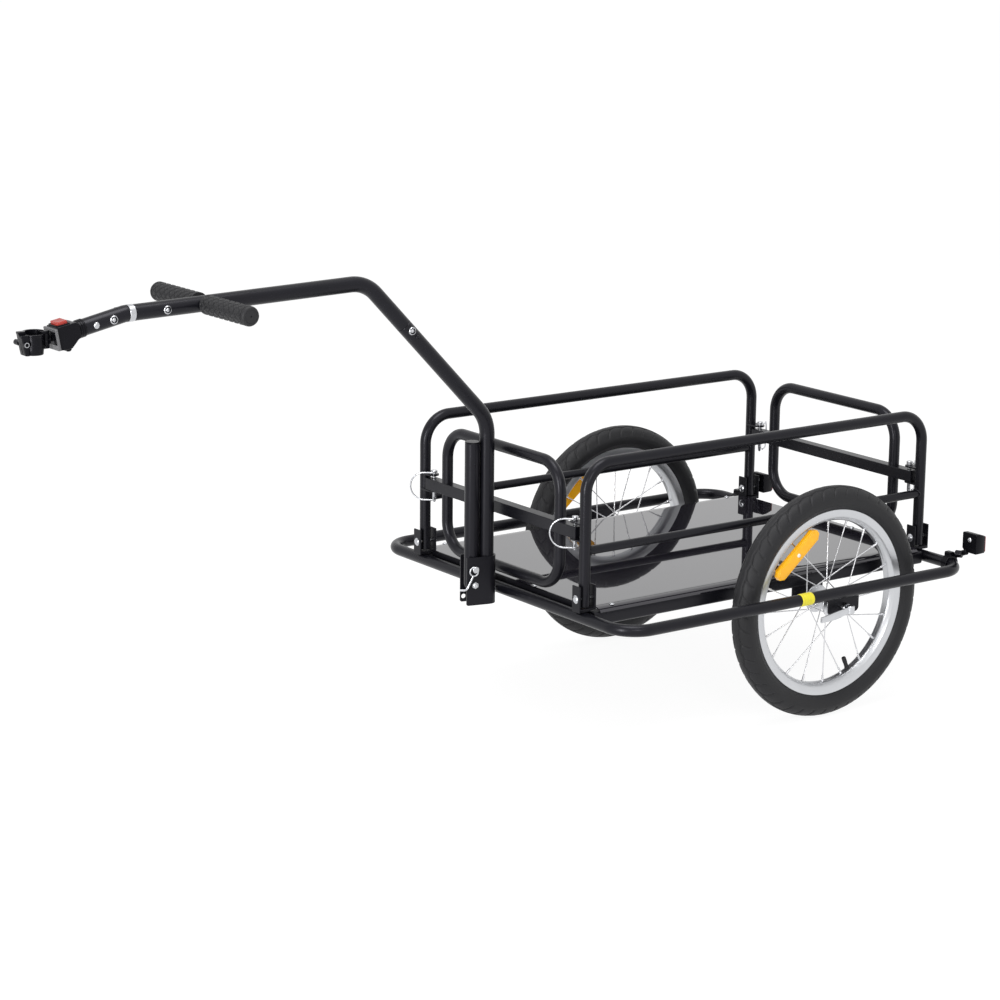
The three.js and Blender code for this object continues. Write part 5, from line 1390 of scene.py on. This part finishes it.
# %% Seen or lit
def seen_directly(tree):
    """1 for rays from the camera, off a mirror or through glass, and 0 for all others."""
    path = tree.nodes.new("ShaderNodeLightPath").outputs
    rays = math_node(tree, "MAXIMUM", path["Is Camera Ray"], path["Is Glossy Ray"])
    return math_node(tree, "MAXIMUM", rays, path["Is Transmission Ray"])


def shown(tree, lit, seen, end):
    """One shader for the light that falls on things, another where it is seen directly."""
    mix = tree.nodes.new("ShaderNodeMixShader")
    tree.links.new(seen_directly(tree), mix.inputs[0])
    tree.links.new(lit.outputs[0], mix.inputs[1])
    tree.links.new(seen.outputs[0], mix.inputs[2])
    tree.links.new(mix.outputs[0], tree.nodes.new(end).inputs["Surface"])


def plain_shader(tree, kind, level, strength=None):
    """A diffuse, emission or background shader of one grey level, with a strength if given."""
    node = tree.nodes.new(kind)
    node.inputs["Color"].default_value = (level, level, level, 1)
    if strength is not None:
        node.inputs["Strength"].default_value = strength
    return node


# %% Floor
FLOOR_HALF, FLOOR_Z = 30, -0.0005
floor_paint = bpy.data.materials.new("studio_floor")
floor_paint.use_nodes = True
tree = floor_paint.node_tree
tree.nodes.clear()
sheet = plain_shader(tree, "ShaderNodeBsdfDiffuse", 0.9)
faint = plain_shader(tree, "ShaderNodeBsdfDiffuse", 0.2)
glow = plain_shader(tree, "ShaderNodeEmission", 1, 0.91)
both = tree.nodes.new("ShaderNodeAddShader")
tree.links.new(faint.outputs[0], both.inputs[0])
tree.links.new(glow.outputs[0], both.inputs[1])
shown(tree, sheet, both, "ShaderNodeOutputMaterial")
floor_mesh = bpy.data.meshes.new("studio_floor")
low, high = -FLOOR_HALF, FLOOR_HALF
corners = [(low, low, FLOOR_Z), (high, low, FLOOR_Z), (high, high, FLOOR_Z), (low, high, FLOOR_Z)]
floor_mesh.from_pydata(corners, [], [(0, 1, 2, 3)])
floor_mesh.materials.append(floor_paint)
floor = bpy.data.objects.new("studio_floor", floor_mesh)
bpy.context.scene.collection.objects.link(floor)

# %% World and lamps
world = bpy.data.worlds.new("studio_air")
bpy.context.scene.world = world
world.use_nodes = True
tree = world.node_tree
tree.nodes.clear()
soft = plain_shader(tree, "ShaderNodeBackground", 1, 0.55)
white = plain_shader(tree, "ShaderNodeBackground", 1, 1)
shown(tree, soft, white, "ShaderNodeOutputWorld")


def soft_lamp(name, place, target, size, power):
    """An area lamp of some width and height that looks from its place at a target, in metres."""
    data = bpy.data.lights.new(name, "AREA")
    data.shape = "RECTANGLE"
    data.size, data.size_y = size
    data.energy = power
    lamp = bpy.data.objects.new(name, data)
    lamp.location = place
    lamp.rotation_euler = (Vector(target) - Vector(place)).to_track_quat("-Z", "Y").to_euler()
    bpy.context.scene.collection.objects.link(lamp)


soft_lamp("top_box", (0.2, 0.5, 3.4), (0, 0, 0.3), (1.7, 1.7), 50)
soft_lamp("left_box", (1.2, 3.4, 2.0), (0, 0, 0.3), (1.1, 1.1), 22)
soft_lamp("streak_box", (2.9, 1.2, 0.9), (0, 0, 0.4), (0.5, 1.8), 60)
print("lamps:", len(bpy.data.lights))

# %% [markdown]
# ## Levels
# The colours stand as written, so the view stays on the plain standard transform.

# %% Finish
bpy.context.scene.view_settings.view_transform = "Standard"
